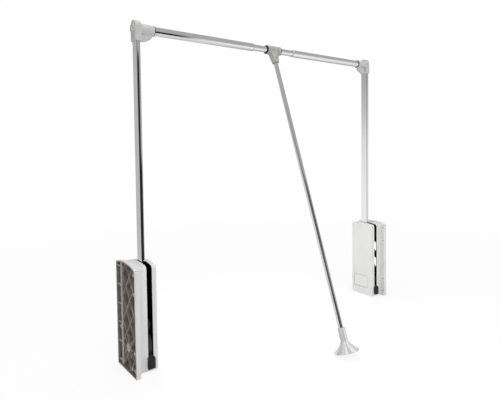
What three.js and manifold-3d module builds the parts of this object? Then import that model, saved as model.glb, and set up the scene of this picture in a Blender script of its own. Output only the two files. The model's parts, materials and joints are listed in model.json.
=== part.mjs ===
// Pull down closet rod: two side housings with sprung arms, a telescopic hanging rod and a pull rod.
// Millimetres, +Z up. X runs along the hanging rod, -Y is the front, the floor is z = 0.
// The origin is on the floor, in the middle of the object's width and depth.
import * as THREE from 'three';
import Module from 'manifold-3d';
import { mergeVertices } from 'three/addons/utils/BufferGeometryUtils.js';

// Driving dimensions
const openingWidth = 950;
const rodHeight = 828;
const flangeDepth = 114;
const flangeThickness = 12;
const housingThickness = 62.7;
const crownHeight = 266;
const armThickness = 10;
const armDepth = 25;
const armSetback = 55;
const pivotSetback = 62;
const pivotHeight = 59;
const outerTubeRadius = 11;
const innerTubeRadius = 9;
const innerTubeLength = 470;
const tubeGapHalf = 76.3;
const pullRodRadius = 6.5;
const bellRadius = 32;
const pullLean = THREE.MathUtils.degToRad(19);
const liftTravel = THREE.MathUtils.degToRad(90);

// Clearances and shared values
const seatGap = 0.3;
const slideGap = 0.5;
const cutOverrun = 2;
const weldDistance = 0.0001;
const roundSteps = 20;
const smallSteps = 8;
const arcSteps = 5;
const quarterTurn = Math.PI / 2;

// Housing shell
const shellWall = 2.5;
const rimWall = 3;
const bodyFrontInset = 14;
const bodyRearInset = 10;
const bodyBottomInset = 4.8;
const bodyCrownInset = 3;
const crownRadius = 205;
const crownSetback = 52;
const frontCornerRadius = 9;
const coverEdgeRadius = 6;
const webDepth = 13;
const webThickness = 3;
const labelWidth = 60;
const labelHeight = 43;
const labelSetback = 50;
const labelBottom = 30;
const labelRecess = 0.6;
const labelCorner = 2;

// Slot for the arm
const leverThickness = 12.4;
const slotWidth = leverThickness + 2 * slideGap;
const armPlane = 43.5;
const slotNear = armPlane - slotWidth / 2;
const slotFar = armPlane + slotWidth / 2;
const slotBottom = 14;
const partingGap = seatGap;
const armFront = armSetback + armDepth / 2;
const armRear = armSetback - armDepth / 2;
const stopPadThickness = 3.9;
const slotRear = armRear - seatGap - stopPadThickness - seatGap;

// Body outline that the base and the cover share
const bodyFront = flangeDepth - bodyFrontInset;
const bodyRear = bodyRearInset;
const coverInside = housingThickness - shellWall;

// Web lattice on the mounting side
const latticePitch = 57;
const latticeWidth = 45;
const latticeSetback = 76;
const latticeDrop = 92;
const latticeHeight = crownHeight - latticeDrop;
const latticeRows = 9;
const ribThickness = 1.6;
const ribSetback = 2.5;
const webHoleCellShares = [
  { across: 0, up: 0, size: 0.7 },
  { across: 0, up: -1, size: 0.7 },
  { across: -0.27, up: 0.9, size: 0.28 },
  { across: 0.5, up: 0.5, size: 0.45 },
  { across: 0.5, up: -0.5, size: 0.45 },
];
const leftLatticeShare = 0.57;
const rightLatticeShare = 0;

// Rear channel of the mounting side, with a flat bar between it and the lattice
const barSetback = 21.7;
const barWidth = 11;
const channelRibBottom = 12.5;
const channelRibPitch = 47.5;
const channelRibThickness = 4;

// Mounting holes in the flange
const mountHoleRadius = 2.4;
const mountBossRadius = 4.6;
const mountHoleInset = 6.6;
const lowMountHeights = [18, 60];
const highMountDrops = [66, 21];
const mountHoleHeights = [...lowMountHeights, ...highMountDrops.map((drop) => crownHeight - drop)];

// Pivot
const pinRadius = 5;
const pinBossRadius = 10;
const hubBossRadius = 11;
const radialRibs = 8;
const radialRibReach = 30;
const pinSetback = 4;

// Lever
const leverRadius = 34;
const hubRadius = 18;
const stopReach = 60;
const stopAngle = THREE.MathUtils.degToRad(117);
const hornAngle = -liftTravel / 2;
const hornRadius = 5.2;
const rollerRadius = 6;
const rollerWidth = 7.6;
const rollerPinRadius = 2;
const shoulderHeight = 128;
const shoulderStep = 6;
const noseDrop = 6;
const tongueLength = 40;
const armWall = 1.2;
const rivetRadius = 2.5;
const rivetHeadRadius = 4.5;
const rivetHeadHeight = 0.9;
const rivetInset = 10;

// Spring column
const columnSetback = 31.5;
const springRadius = 9.5;
const springWire = 3;
const springCurls = 14;
const curlSteps = 8;
const wireSides = 5;
const plungerFoot = 5;
const plungerStemRadius = 5.5;
const plungerLength = 70;
const guideRadius = 3;
const seatHeight = 10;
const springSeatDrop = 36;
const springSeatBottom = crownHeight - springSeatDrop;
const guideHeadRadius = 5;
const guideHeadHeight = 2.4;
const ledgeHeight = 6;
const camClearance = 0.4;
const plungerTravelPerTurn = 31.5;

// Cover screws
const screwRadius = 1.7;
const screwHeadRadius = 3.5;
const screwHeadHeight = 2;
const screwBossRadius = 4;
const screwCupRadius = 5.4;
const screwSeat = 4.6;
const screwLength = 48;
const lowScrewSetback = 20;
const lowScrewHeight = 13;
const middleScrewSetback = 17;
const middleScrewHeight = 97;
const highScrewSetback = 30.7;
const highScrewDrop = 16;
const frontScrewSetback = 84;
const frontScrewHeight = 14;

// Front bumper and upright stop
const bumperWidth = 18;
const bumperProud = 7;
const bumperPlugDepth = 7;
const bumperBottom = 10.5;
const stopRibThickness = 2.5;

// Corner connector
const socketWall = 3.5;
const socketBelow = 30;
const socketAbove = 20;
const socketHalfDepth = 14;
const socketEdge = 1.2;
const bossRadius = 11;
const bossHeight = 3;
const collarRadius = 14;
const collarMouthRadius = 13;
const collarLength = 36;
const collarWeb = 8;
const gussetLength = 33;
const gussetDrop = 17;
const gussetHalfThickness = 6;
const fixScrewRadius = 3;
const fixScrewHeadRadius = 6.2;
const fixScrewHeadHeight = 2;
const fixScrewSlotWidth = 1.4;
const fixScrewSlotDepth = 1;
const armTopInset = 13;
const bushLip = 1.5;
const bushLipRadius = 12.7;

// Hanging rod
const tubeWall = 0.9;
const endRingLip = 2;
const endRingDepth = 14;
const endRingWall = 0.5;
const lockScrewRadius = 2;
const lockScrewInset = 7;
const lockScrewHead = 0.7;

// Tee connector
const teeHalfLength = 25;
const teeRadius = 13;
const teeBoreRadius = 11.3;
const teeBushDepth = 10;
const funnelLength = 42;
const funnelHalfWidth = 20.5;
const funnelHalfDepth = 12.8;
const funnelMouthRadius = 10;
const funnelRecess = 4;
const funnelRecessRadius = 7.8;
const rodSeatDepth = 16;
const teePinRadius = 2;
const teePinHeight = 28;

// Pull rod and grip bell
const pullWall = 1;
const gripLength = 60;
const gripNeckLength = 30;
const gripNeckRadius = 9.6;
const gripLipThickness = 1.6;
const gripWall = 2;
const gripSocketDepth = 26;
const gripWeb = 4;
const plugLength = 24;
const gripScrewRadius = 2;
const gripScrewHeadRadius = 4;
const gripScrewHeadHeight = 2;
const gripScrewLength = 16;

// Places that follow from the sizes
const pullLength = (rodHeight - bellRadius * Math.sin(pullLean)) / Math.cos(pullLean);
const bellFront = armSetback + pullLength * Math.sin(pullLean) + bellRadius * Math.cos(pullLean);
const depthShift = bellFront / 2;
const socketNear = armPlane - armThickness / 2 - socketWall;
const socketFar = armPlane + armThickness / 2 + socketWall;
const collarEnd = socketFar + collarLength;
const tubeStart = socketFar + collarWeb;
const hornReach = leverRadius;
const rollerHeight = pivotHeight + hornReach * Math.sin(hornAngle);
const plungerBottom = rollerHeight + rollerRadius + camClearance;
const plungerTravel = plungerTravelPerTurn * liftTravel;
const stemTop = plungerBottom + plungerLength;
const springBottom = plungerBottom + plungerFoot + seatGap;
const springTop = springSeatBottom - seatGap;
const guideBottom = plungerBottom + plungerFoot + plungerTravel + cutOverrun;
const seatTop = springSeatBottom + seatHeight;
const seatFront = columnSetback + springRadius;
const seatRear = columnSetback - springRadius;
const bumperAngle = stopAngle + liftTravel - Math.PI;

// Materials
const paint = { color: 0xd9dad9, roughness: 0.42, metalness: 0.1 };
const satinGrey = { color: 0xb9bab4, roughness: 0.4, metalness: 0.35 };
const chrome = { color: 0xd8d8d8, roughness: 0.12, metalness: 1 };
const steel = { color: 0xa8a8a8, roughness: 0.35, metalness: 0.9 };
const blackPlastic = { color: 0x141414, roughness: 0.5, metalness: 0 };
const rubber = { color: 0x1c1c1c, roughness: 0.8, metalness: 0 };
const nylon = { color: 0xe4e2da, roughness: 0.5, metalness: 0 };
const silverPaint = { color: 0xc9cac9, roughness: 0.3, metalness: 0.5 };

const wasm = await Module();
wasm.setup();

// Solids: joining and cutting closed geometries
function toSolid(geometry) {
  const bare = new THREE.BufferGeometry();
  bare.setAttribute('position', geometry.getAttribute('position').clone());
  bare.setIndex(geometry.getIndex());
  const welded = mergeVertices(bare, weldDistance);
  const vertProperties = new Float32Array(welded.getAttribute('position').array);
  const triVerts = new Uint32Array(welded.getIndex().array);
  return new wasm.Manifold(new wasm.Mesh({ numProp: 3, vertProperties, triVerts }));
}

function toGeometry(solid) {
  const mesh = solid.getMesh();
  const geometry = new THREE.BufferGeometry();
  geometry.setAttribute('position', new THREE.BufferAttribute(new Float32Array(mesh.vertProperties), 3));
  geometry.setIndex(new THREE.BufferAttribute(new Uint32Array(mesh.triVerts), 1));
  return geometry;
}

function join(first, ...others) {
  const solid = others.reduce((sum, other) => sum.add(toSolid(other)), toSolid(first));
  return toGeometry(solid);
}

function cut(first, ...others) {
  const solid = others.reduce((rest, other) => rest.subtract(toSolid(other)), toSolid(first));
  return toGeometry(solid);
}

function common(first, second) {
  return toGeometry(toSolid(first).intersect(toSolid(second)));
}

// Shapes
function block(x0, x1, y0, y1, z0, z1) {
  const geometry = new THREE.BoxGeometry(Math.abs(x1 - x0), Math.abs(y1 - y0), Math.abs(z1 - z0));
  return geometry.translate((x0 + x1) / 2, (y0 + y1) / 2, (z0 + z1) / 2);
}

function cylinderX(radius, x0, x1, y, z, steps) {
  const geometry = new THREE.CylinderGeometry(radius, radius, Math.abs(x1 - x0), steps);
  return geometry.rotateZ(quarterTurn).translate((x0 + x1) / 2, y, z);
}

function cylinderY(radius, y0, y1, x, z, steps) {
  const geometry = new THREE.CylinderGeometry(radius, radius, Math.abs(y1 - y0), steps);
  return geometry.translate(x, (y0 + y1) / 2, z);
}

function cylinderZ(radius, z0, z1, x, y, steps) {
  const geometry = new THREE.CylinderGeometry(radius, radius, Math.abs(z1 - z0), steps);
  return geometry.rotateX(quarterTurn).translate(x, y, (z0 + z1) / 2);
}

// A cylinder along X about the pivot, and one about the middle of the arm at a height
function pivotCylinder(radius, x0, x1) {
  return cylinderX(radius, x0, x1, -pivotSetback, pivotHeight, roundSteps);
}

function armCylinder(radius, x0, x1, z, steps) {
  return cylinderX(radius, x0, x1, -armSetback, z, steps);
}

// A closed outline turned about the X axis; points are [radius, x], in order round the outline
function turnedX(points, steps) {
  const outline = points.map(([radius, x]) => new THREE.Vector2(radius, x));
  return new THREE.LatheGeometry(outline, steps).rotateZ(-quarterTurn);
}

// The same about the Z axis; points are [radius, z]
function turnedZ(points, steps) {
  const outline = points.map(([radius, z]) => new THREE.Vector2(radius, z));
  return new THREE.LatheGeometry(outline, steps).rotateX(quarterTurn);
}

function ringX(inner, outer, x0, x1, steps) {
  return turnedX([[inner, x0], [outer, x0], [outer, x1], [inner, x1], [inner, x0]], steps);
}

function ringZ(inner, outer, z0, z1, steps) {
  return turnedZ([[inner, z0], [outer, z0], [outer, z1], [inner, z1], [inner, z0]], steps);
}

// A (y, z) outline drawn out along X
function slabX(shape, x0, x1) {
  const geometry = new THREE.ExtrudeGeometry(shape, {
    depth: x1 - x0,
    bevelEnabled: false,
    curveSegments: arcSteps,
  });
  const basis = new THREE.Matrix4();
  basis.makeBasis(new THREE.Vector3(0, 1, 0), new THREE.Vector3(0, 0, 1), new THREE.Vector3(1, 0, 0));
  return geometry.applyMatrix4(basis).translate(x0, 0, 0);
}

// The same with rounded edges, which stay inside the outline
function softSlabX(shape, x0, x1, edge, edgeSteps) {
  const geometry = new THREE.ExtrudeGeometry(shape, {
    depth: x1 - x0 - 2 * edge,
    bevelEnabled: true,
    bevelThickness: edge,
    bevelSize: edge,
    bevelOffset: -edge,
    bevelSegments: edgeSteps,
    curveSegments: arcSteps,
  });
  const basis = new THREE.Matrix4();
  basis.makeBasis(new THREE.Vector3(0, 1, 0), new THREE.Vector3(0, 0, 1), new THREE.Vector3(1, 0, 0));
  return geometry.applyMatrix4(basis).translate(x0 + edge, 0, 0);
}

function outlineOf(points) {
  return new THREE.Shape(points.map(([across, up]) => new THREE.Vector2(across, up)));
}

function rectangleOf(y0, y1, z0, z1) {
  return outlineOf([[y0, z0], [y1, z0], [y1, z1], [y0, z1]]);
}

// A place on the lever, given by its distance and angle from the pivot
function fromPivot(reach, angle) {
  return [-pivotSetback + reach * Math.cos(angle), pivotHeight + reach * Math.sin(angle)];
}

// Side outline of the housing: straight rear, bottom and front, a crowned top and a rounded front corner
function housingOutline(front, rear, bottom, inset) {
  const radius = crownRadius - inset;
  const centreZ = crownHeight - crownRadius;
  const corner = frontCornerRadius;
  const yFront = -front;
  const yRear = -rear;
  const rearTop = centreZ + Math.sqrt(radius ** 2 - (yRear + crownSetback) ** 2);
  const cornerY = yFront + corner;
  const cornerZ = centreZ + Math.sqrt((radius - corner) ** 2 - (cornerY + crownSetback) ** 2);
  const turn = Math.atan2(cornerZ - centreZ, cornerY + crownSetback);
  const start = Math.atan2(rearTop - centreZ, yRear + crownSetback);
  const shape = new THREE.Shape();
  shape.moveTo(yFront, bottom);
  shape.lineTo(yRear, bottom);
  shape.lineTo(yRear, rearTop);
  shape.absarc(-crownSetback, centreZ, radius, start, turn, false);
  shape.absarc(cornerY, cornerZ, corner, turn, Math.PI, false);
  shape.lineTo(yFront, bottom);
  return shape;
}

function flangeOutline(inset) {
  return housingOutline(flangeDepth - inset, inset, inset, inset);
}

function bodyOutline(inset) {
  const bottom = bodyBottomInset + inset;
  return housingOutline(bodyFront - inset, bodyRear + inset, bottom, bodyCrownInset + inset);
}

// Diagonal ribs of the web, crossing in diamonds; the share moves them up by part of a pitch
function latticeRibs(shiftShare) {
  const lean = Math.atan2(latticePitch, latticeWidth);
  const ribLength = crownHeight * 2;
  const ribs = [];
  for (let row = 0; row < latticeRows; row += 1) {
    const up = latticeHeight + (row - (latticeRows - 1) / 2 + 1 / 2 + shiftShare) * latticePitch;
    for (const side of [1, -1]) {
      const rib = new THREE.BoxGeometry(webDepth - ribSetback + webThickness / 2, ribLength, ribThickness);
      rib.rotateX(side * lean);
      rib.translate((webDepth + webThickness / 2 + ribSetback) / 2, -latticeSetback, up);
      ribs.push(rib);
    }
  }
  const inside = slabX(bodyOutline(shellWall / 2), 0, webDepth + webThickness / 2);
  const ribRear = -barSetback - barWidth / 2;
  const front = block(0, webDepth + webThickness / 2, -flangeDepth, ribRear, 0, crownHeight);
  return common(common(join(...ribs), inside), front);
}

// Diamond openings of the web, which stay inside the housing's wall
function webHoles(shiftShare) {
  const near = webDepth - cutOverrun;
  const far = webDepth + webThickness + cutOverrun;
  const inside = slabX(bodyOutline(2 * shellWall), near, far);
  return webHoleCellShares.map(({ across, up, size }) => {
    const y = -latticeSetback + across * latticeWidth;
    const z = latticeHeight + (up + shiftShare) * latticePitch;
    const half = (latticeWidth * size) / 2;
    const rise = (latticePitch * size) / 2;
    const diamond = outlineOf([[y, z - rise], [y + half, z], [y, z + rise], [y - half, z]]);
    return common(slabX(diamond, near, far), inside);
  });
}

function screwPlaces() {
  return [
    [-lowScrewSetback, lowScrewHeight],
    [-middleScrewSetback, middleScrewHeight],
    [-highScrewSetback, crownHeight - highScrewDrop],
    [-frontScrewSetback, frontScrewHeight],
  ];
}

function mountPlaces() {
  return mountHoleHeights.flatMap((height) => [[-flangeDepth + mountHoleInset, height]]);
}

// Mounting half of the housing, open towards the cabinet side
function housingBase(side) {
  const latticeShare = side > 0 ? rightLatticeShare : leftLatticeShare;
  const inner = slotNear - partingGap / 2;
  const outside = join(slabX(flangeOutline(0), 0, flangeThickness), slabX(bodyOutline(0), 0, inner));
  const hollow = [
    slabX(flangeOutline(rimWall), -cutOverrun, flangeThickness - rimWall),
    slabX(bodyOutline(shellWall), -cutOverrun, webDepth),
    slabX(bodyOutline(shellWall), webDepth + webThickness, inner + cutOverrun),
  ];
  const ribDeep = webDepth + webThickness / 2;
  const channelTop = crownHeight - bodyCrownInset - shellWall;
  const channelRibs = Math.floor((channelTop - channelRibBottom) / channelRibPitch) + 1;
  const channelFront = -barSetback - cutOverrun;
  const bodyWallMiddle = -bodyRear - shellWall / 2;
  const flangeDeep = flangeThickness - rimWall / 2;
  const rearRibs = [];
  for (let rib = 0; rib < channelRibs; rib += 1) {
    const low = channelRibBottom + rib * channelRibPitch - channelRibThickness / 2;
    const high = low + channelRibThickness;
    rearRibs.push(block(ribSetback, ribDeep, channelFront, bodyWallMiddle, low, high));
    rearRibs.push(block(ribSetback, flangeDeep, bodyWallMiddle, -rimWall / 2, low, high));
  }
  const bar = common(
    block(ribSetback, ribDeep, -barSetback - barWidth, -barSetback, bodyBottomInset, channelTop),
    slabX(bodyOutline(shellWall / 2), 0, ribDeep),
  );
  const boss = pivotCylinder(hubBossRadius, ribSetback, slotNear - partingGap);
  const radials = [];
  for (let rib = 0; rib < radialRibs; rib += 1) {
    const blade = block(2 * ribSetback, ribDeep, 0, radialRibReach, -ribThickness / 2, ribThickness / 2);
    blade.rotateX((rib * 2 * Math.PI) / radialRibs);
    radials.push(blade.translate(0, -pivotSetback, pivotHeight));
  }
  const screwBosses = screwPlaces().map(([y, z]) => (
    cylinderX(screwBossRadius, webDepth, inner, y, z, smallSteps)
  ));
  const screwCups = screwPlaces().map(([y, z]) => (
    cylinderX(screwCupRadius, ribSetback, ribDeep, y, z, smallSteps)
  ));
  const screwBores = screwPlaces().map(([y, z]) => (
    cylinderX(screwRadius + seatGap, screwSeat - cutOverrun, inner + cutOverrun, y, z, smallSteps)
  ));
  const headRooms = screwPlaces().map(([y, z]) => (
    cylinderX(screwHeadRadius + seatGap, -cutOverrun, screwSeat, y, z, smallSteps)
  ));
  const mountBosses = mountPlaces().map(([y, z]) => (
    cylinderX(mountBossRadius, 0, flangeThickness - rimWall / 2, y, z, smallSteps)
  ));
  const mountBores = mountPlaces().map(([y, z]) => (
    cylinderX(mountHoleRadius, -cutOverrun, flangeThickness + cutOverrun, y, z, smallSteps)
  ));
  const ledgeBottom = seatTop + seatGap;
  const ledge = block(webDepth, inner, -seatFront, -bodyRear, ledgeBottom, ledgeBottom + ledgeHeight);
  const pinBore = pivotCylinder(pinRadius + seatGap, pinSetback - seatGap, slotNear + cutOverrun);
  const shell = cut(outside, ...hollow, ...webHoles(latticeShare));
  const ribs = [latticeRibs(latticeShare), ...rearRibs, bar, ...radials];
  const bosses = [boss, ...screwBosses, ...screwCups, ...mountBosses];
  const filled = join(shell, ...ribs, ...bosses, ledge);
  return cut(filled, pinBore, ...screwBores, ...headRooms, ...mountBores);
}

// Inner half of the housing, with the slot for the arm in its rim
function housingCover() {
  const near = slotNear + partingGap / 2;
  const outside = common(
    softSlabX(bodyOutline(0), near - 2 * coverEdgeRadius, housingThickness, coverEdgeRadius, 3),
    block(near, housingThickness + cutOverrun, -flangeDepth, 0, 0, crownHeight),
  );
  const hollow = slabX(bodyOutline(shellWall), near - cutOverrun, coverInside);
  const slot = block(near - cutOverrun, slotFar, -flangeDepth, -slotRear, slotBottom, crownHeight);
  const labelShape = rectangleOf(
    -labelSetback - labelWidth / 2, -labelSetback + labelWidth / 2, labelBottom, labelBottom + labelHeight,
  );
  const labelNear = housingThickness - labelRecess;
  const label = softSlabX(labelShape, labelNear, housingThickness + 2 * labelCorner, labelRecess, 1);
  const bossEnd = coverInside + shellWall / 2;
  const boss = pivotCylinder(pinBossRadius, slotFar, bossEnd);
  const pinBore = pivotCylinder(pinRadius + seatGap, slotFar - cutOverrun, coverInside);
  const screwBosses = screwPlaces().map(([y, z]) => (
    cylinderX(screwBossRadius, near, bossEnd, y, z, smallSteps)
  ));
  const screwBores = screwPlaces().map(([y, z]) => (
    cylinderX(screwRadius + seatGap, near - cutOverrun, screwSeat + screwLength + seatGap, y, z, smallSteps)
  ));
  const ledgeBottom = seatTop + seatGap;
  const ledge = block(
    near, bossEnd, -seatFront, -bodyRear - shellWall / 2, ledgeBottom, ledgeBottom + ledgeHeight,
  );
  const stopRib = common(
    block(near, bossEnd, -slotRear, -slotRear + stopRibThickness, ledgeBottom, crownHeight),
    slabX(bodyOutline(shellWall / 2), near, housingThickness),
  );
  const shell = cut(outside, hollow, slot, label);
  return cut(join(shell, boss, ...screwBosses, ledge, stopRib), pinBore, ...screwBores);
}

function coverScrew([y, z]) {
  const headFar = screwSeat - seatGap;
  const head = cylinderX(screwHeadRadius, headFar - screwHeadHeight, headFar, y, z, smallSteps);
  const shankNear = headFar - screwHeadHeight / 2;
  const shank = cylinderX(screwRadius, shankNear, screwSeat + screwLength, y, z, smallSteps);
  return join(head, shank);
}

function pivotPin() {
  return pivotCylinder(pinRadius, pinSetback, coverInside - seatGap);
}

// Lever that carries the arm: hub, front sector with its stop edge, rear horn and neck
function leverOutlines() {
  const sector = new THREE.Shape();
  const tail = 2 * Math.PI + hornAngle;
  const [startY, startZ] = fromPivot(leverRadius, stopAngle);
  sector.moveTo(-pivotSetback, pivotHeight);
  sector.lineTo(startY, startZ);
  sector.absarc(-pivotSetback, pivotHeight, leverRadius, stopAngle, tail, false);
  sector.lineTo(-pivotSetback, pivotHeight);
  const [noseY, noseZ] = fromPivot(stopReach, stopAngle);
  const [rootY, rootZ] = fromPivot(leverRadius / 2, stopAngle);
  const neck = outlineOf([
    [rootY, rootZ],
    [-armRear, pivotHeight],
    [-armRear, shoulderHeight],
    [-armFront, shoulderHeight],
    [noseY + shoulderStep, noseZ + noseDrop],
    [noseY, noseZ],
  ]);
  return { sector, neck };
}

function lever() {
  const near = armPlane - leverThickness / 2;
  const far = armPlane + leverThickness / 2;
  const { sector, neck } = leverOutlines();
  const [hornY, hornZ] = fromPivot(hornReach, hornAngle);
  const hub = pivotCylinder(hubRadius, near, far);
  const horn = cylinderX(hornRadius, near, far, hornY, hornZ, roundSteps);
  const tongueHalf = armThickness / 2 - armWall - seatGap;
  const tongueDeep = armDepth / 2 - armWall - seatGap;
  const tongue = block(
    armPlane - tongueHalf, armPlane + tongueHalf, -armSetback - tongueDeep, -armSetback + tongueDeep,
    shoulderHeight - cutOverrun, shoulderHeight + tongueLength,
  );
  const cutNear = near - cutOverrun;
  const cutFar = far + cutOverrun;
  const pinBore = pivotCylinder(pinRadius + seatGap, cutNear, cutFar);
  const rollerRoom = cylinderX(
    rollerRadius + slideGap, armPlane - rollerWidth / 2 - seatGap, armPlane + rollerWidth / 2 + seatGap,
    hornY, hornZ, roundSteps,
  );
  const rollerPinBore = cylinderX(rollerPinRadius + seatGap, cutNear, cutFar, hornY, hornZ, smallSteps);
  const rivetBores = rivetHeights().map((z) => (
    armCylinder(rivetRadius + seatGap, cutNear, cutFar, z, smallSteps)
  ));
  const whole = join(slabX(sector, near, far), slabX(neck, near, far), hub, horn, tongue);
  return cut(whole, pinBore, rollerRoom, rollerPinBore, ...rivetBores);
}

function rivetHeights() {
  return [shoulderHeight + rivetInset, shoulderHeight + tongueLength - rivetInset];
}

function leverRivet(z) {
  const near = armPlane - armThickness / 2 - seatGap;
  const far = armPlane + armThickness / 2 + seatGap;
  const nearHead = armCylinder(rivetHeadRadius, near - rivetHeadHeight, near, z, smallSteps);
  const farHead = armCylinder(rivetHeadRadius, far, far + rivetHeadHeight, z, smallSteps);
  const shankHalf = (far - near + rivetHeadHeight) / 2;
  const shank = armCylinder(rivetRadius, armPlane - shankHalf, armPlane + shankHalf, z, smallSteps);
  return join(nearHead, farHead, shank);
}

function camRoller() {
  const [hornY, hornZ] = fromPivot(hornReach, hornAngle);
  const half = rollerWidth / 2;
  const ring = ringX(rollerPinRadius + seatGap, rollerRadius, -half, half, roundSteps);
  return ring.translate(armPlane, hornY, hornZ);
}

function rollerPin() {
  const [hornY, hornZ] = fromPivot(hornReach, hornAngle);
  const half = leverThickness / 2;
  return cylinderX(rollerPinRadius, armPlane - half, armPlane + half, hornY, hornZ, smallSteps);
}

function armTube() {
  const bottom = shoulderHeight + seatGap;
  const top = rodHeight + socketAbove - armTopInset;
  const half = armThickness / 2;
  const deep = armDepth / 2;
  const front = -armSetback - deep;
  const rear = -armSetback + deep;
  const outside = block(armPlane - half, armPlane + half, front, rear, bottom, top);
  const bore = block(
    armPlane - half + armWall, armPlane + half - armWall, front + armWall, rear - armWall,
    bottom - cutOverrun, top + cutOverrun,
  );
  const cutNear = armPlane - armThickness;
  const cutFar = armPlane + armThickness;
  const holes = rivetHeights().map((z) => (
    armCylinder(rivetRadius + seatGap, cutNear, cutFar, z, smallSteps)
  ));
  const screwHole = armCylinder(fixScrewRadius + seatGap, cutNear, cutFar, rodHeight, smallSteps);
  return cut(outside, bore, ...holes, screwHole);
}

function plunger() {
  const footTop = plungerBottom + plungerFoot;
  const bore = guideRadius + seatGap;
  const outline = [
    [0, plungerBottom], [springRadius, plungerBottom], [springRadius, footTop],
    [plungerStemRadius, footTop], [plungerStemRadius, stemTop],
    [bore, stemTop], [bore, footTop], [0, footTop],
  ];
  return turnedZ(outline, roundSteps).translate(armPlane, -columnSetback, 0);
}

function guideRod() {
  const headBottom = seatTop - seatGap - guideHeadHeight;
  const headTop = headBottom + guideHeadHeight;
  const outline = [
    [0, guideBottom], [guideRadius, guideBottom], [guideRadius, headBottom], [guideHeadRadius, headBottom],
    [guideHeadRadius, headTop], [0, headTop],
  ];
  return turnedZ(outline, smallSteps).translate(armPlane, -columnSetback, 0);
}

function springSeat() {
  const half = springRadius;
  const body = block(armPlane - half, armPlane + half, -seatFront, -seatRear, springSeatBottom, seatTop);
  const bore = cylinderZ(
    guideRadius + seatGap, springSeatBottom - cutOverrun, seatTop + cutOverrun,
    armPlane, -columnSetback, smallSteps,
  );
  const headRoom = cylinderZ(
    guideHeadRadius + seatGap, seatTop - 2 * seatGap - guideHeadHeight, seatTop + cutOverrun,
    armPlane, -columnSetback, smallSteps,
  );
  return cut(body, bore, headRoom);
}

// One unbroken wire wound in a helix, with its least gap between curls printed
function liftSpring() {
  const meanRadius = springRadius - springWire / 2;
  const wireRadius = springWire / 2;
  const bottom = springBottom + wireRadius;
  const rise = springTop - springBottom - springWire;
  const steps = springCurls * curlSteps;
  const centres = [];
  for (let step = 0; step <= steps; step += 1) {
    const angle = (step / curlSteps) * 2 * Math.PI;
    const z = bottom + (rise * step) / steps;
    centres.push(new THREE.Vector3(meanRadius * Math.cos(angle), meanRadius * Math.sin(angle), z));
  }
  let leastGap = Infinity;
  for (let step = 0; step + curlSteps <= steps; step += 1) {
    leastGap = Math.min(leastGap, centres[step].distanceTo(centres[step + curlSteps]) - springWire);
  }
  console.log(`least gap between spring curls: ${leastGap.toFixed(2)} mm`);
  const positions = [];
  centres.forEach((centre, step) => {
    const angle = (step / curlSteps) * 2 * Math.PI;
    const outward = new THREE.Vector3(Math.cos(angle), Math.sin(angle), 0);
    for (let side = 0; side < wireSides; side += 1) {
      const turn = (side / wireSides) * 2 * Math.PI;
      const point = centre.clone().addScaledVector(outward, wireRadius * Math.cos(turn));
      point.z += wireRadius * Math.sin(turn);
      positions.push(point.x, point.y, point.z);
    }
  });
  const index = [];
  for (let step = 0; step < steps; step += 1) {
    for (let side = 0; side < wireSides; side += 1) {
      const a = step * wireSides + side;
      const b = step * wireSides + ((side + 1) % wireSides);
      index.push(a, a + wireSides, b, b, a + wireSides, b + wireSides);
    }
  }
  const last = steps * wireSides;
  for (let side = 1; side < wireSides - 1; side += 1) {
    index.push(0, side, side + 1, last, last + side + 1, last + side);
  }
  const geometry = new THREE.BufferGeometry();
  geometry.setAttribute('position', new THREE.Float32BufferAttribute(positions, 3));
  geometry.setIndex(index);
  return geometry.translate(armPlane, -columnSetback, 0);
}

// Rubber bumper that closes the foot of the slot; its top lies along the stop edge of the lowered lever
function frontBumper() {
  const slope = Math.tan(bumperAngle);
  const drop = slideGap / Math.cos(bumperAngle);
  const topAt = (front) => pivotHeight - (front - pivotSetback) * slope - drop;
  const capFront = bodyFront + bumperProud;
  const capRear = bodyFront + seatGap;
  const plugRear = bodyFront - bumperPlugDepth;
  const plugHalf = slotWidth / 2 - partingGap;
  const cap = outlineOf([
    [-capFront, bumperBottom], [-capRear, bumperBottom],
    [-capRear, topAt(capRear)], [-capFront, topAt(capFront)],
  ]);
  const plug = outlineOf([
    [-capRear - seatGap, slotBottom + seatGap], [-plugRear, slotBottom + seatGap],
    [-plugRear, topAt(plugRear)], [-capRear - seatGap, topAt(capRear + seatGap)],
  ]);
  return join(
    slabX(cap, armPlane - bumperWidth / 2, armPlane + bumperWidth / 2),
    slabX(plug, armPlane - plugHalf, armPlane + plugHalf),
  );
}

// Pad at the rear end of the slot, behind the upright arm
function uprightStop() {
  const half = slotWidth / 2 - seatGap - partingGap;
  const bottom = seatTop + ledgeHeight + 2 * seatGap;
  const top = crownHeight - bodyCrownInset - shellWall;
  const rear = slotRear + seatGap;
  return block(armPlane - half, armPlane + half, -rear - stopPadThickness, -rear, bottom, top);
}

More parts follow.
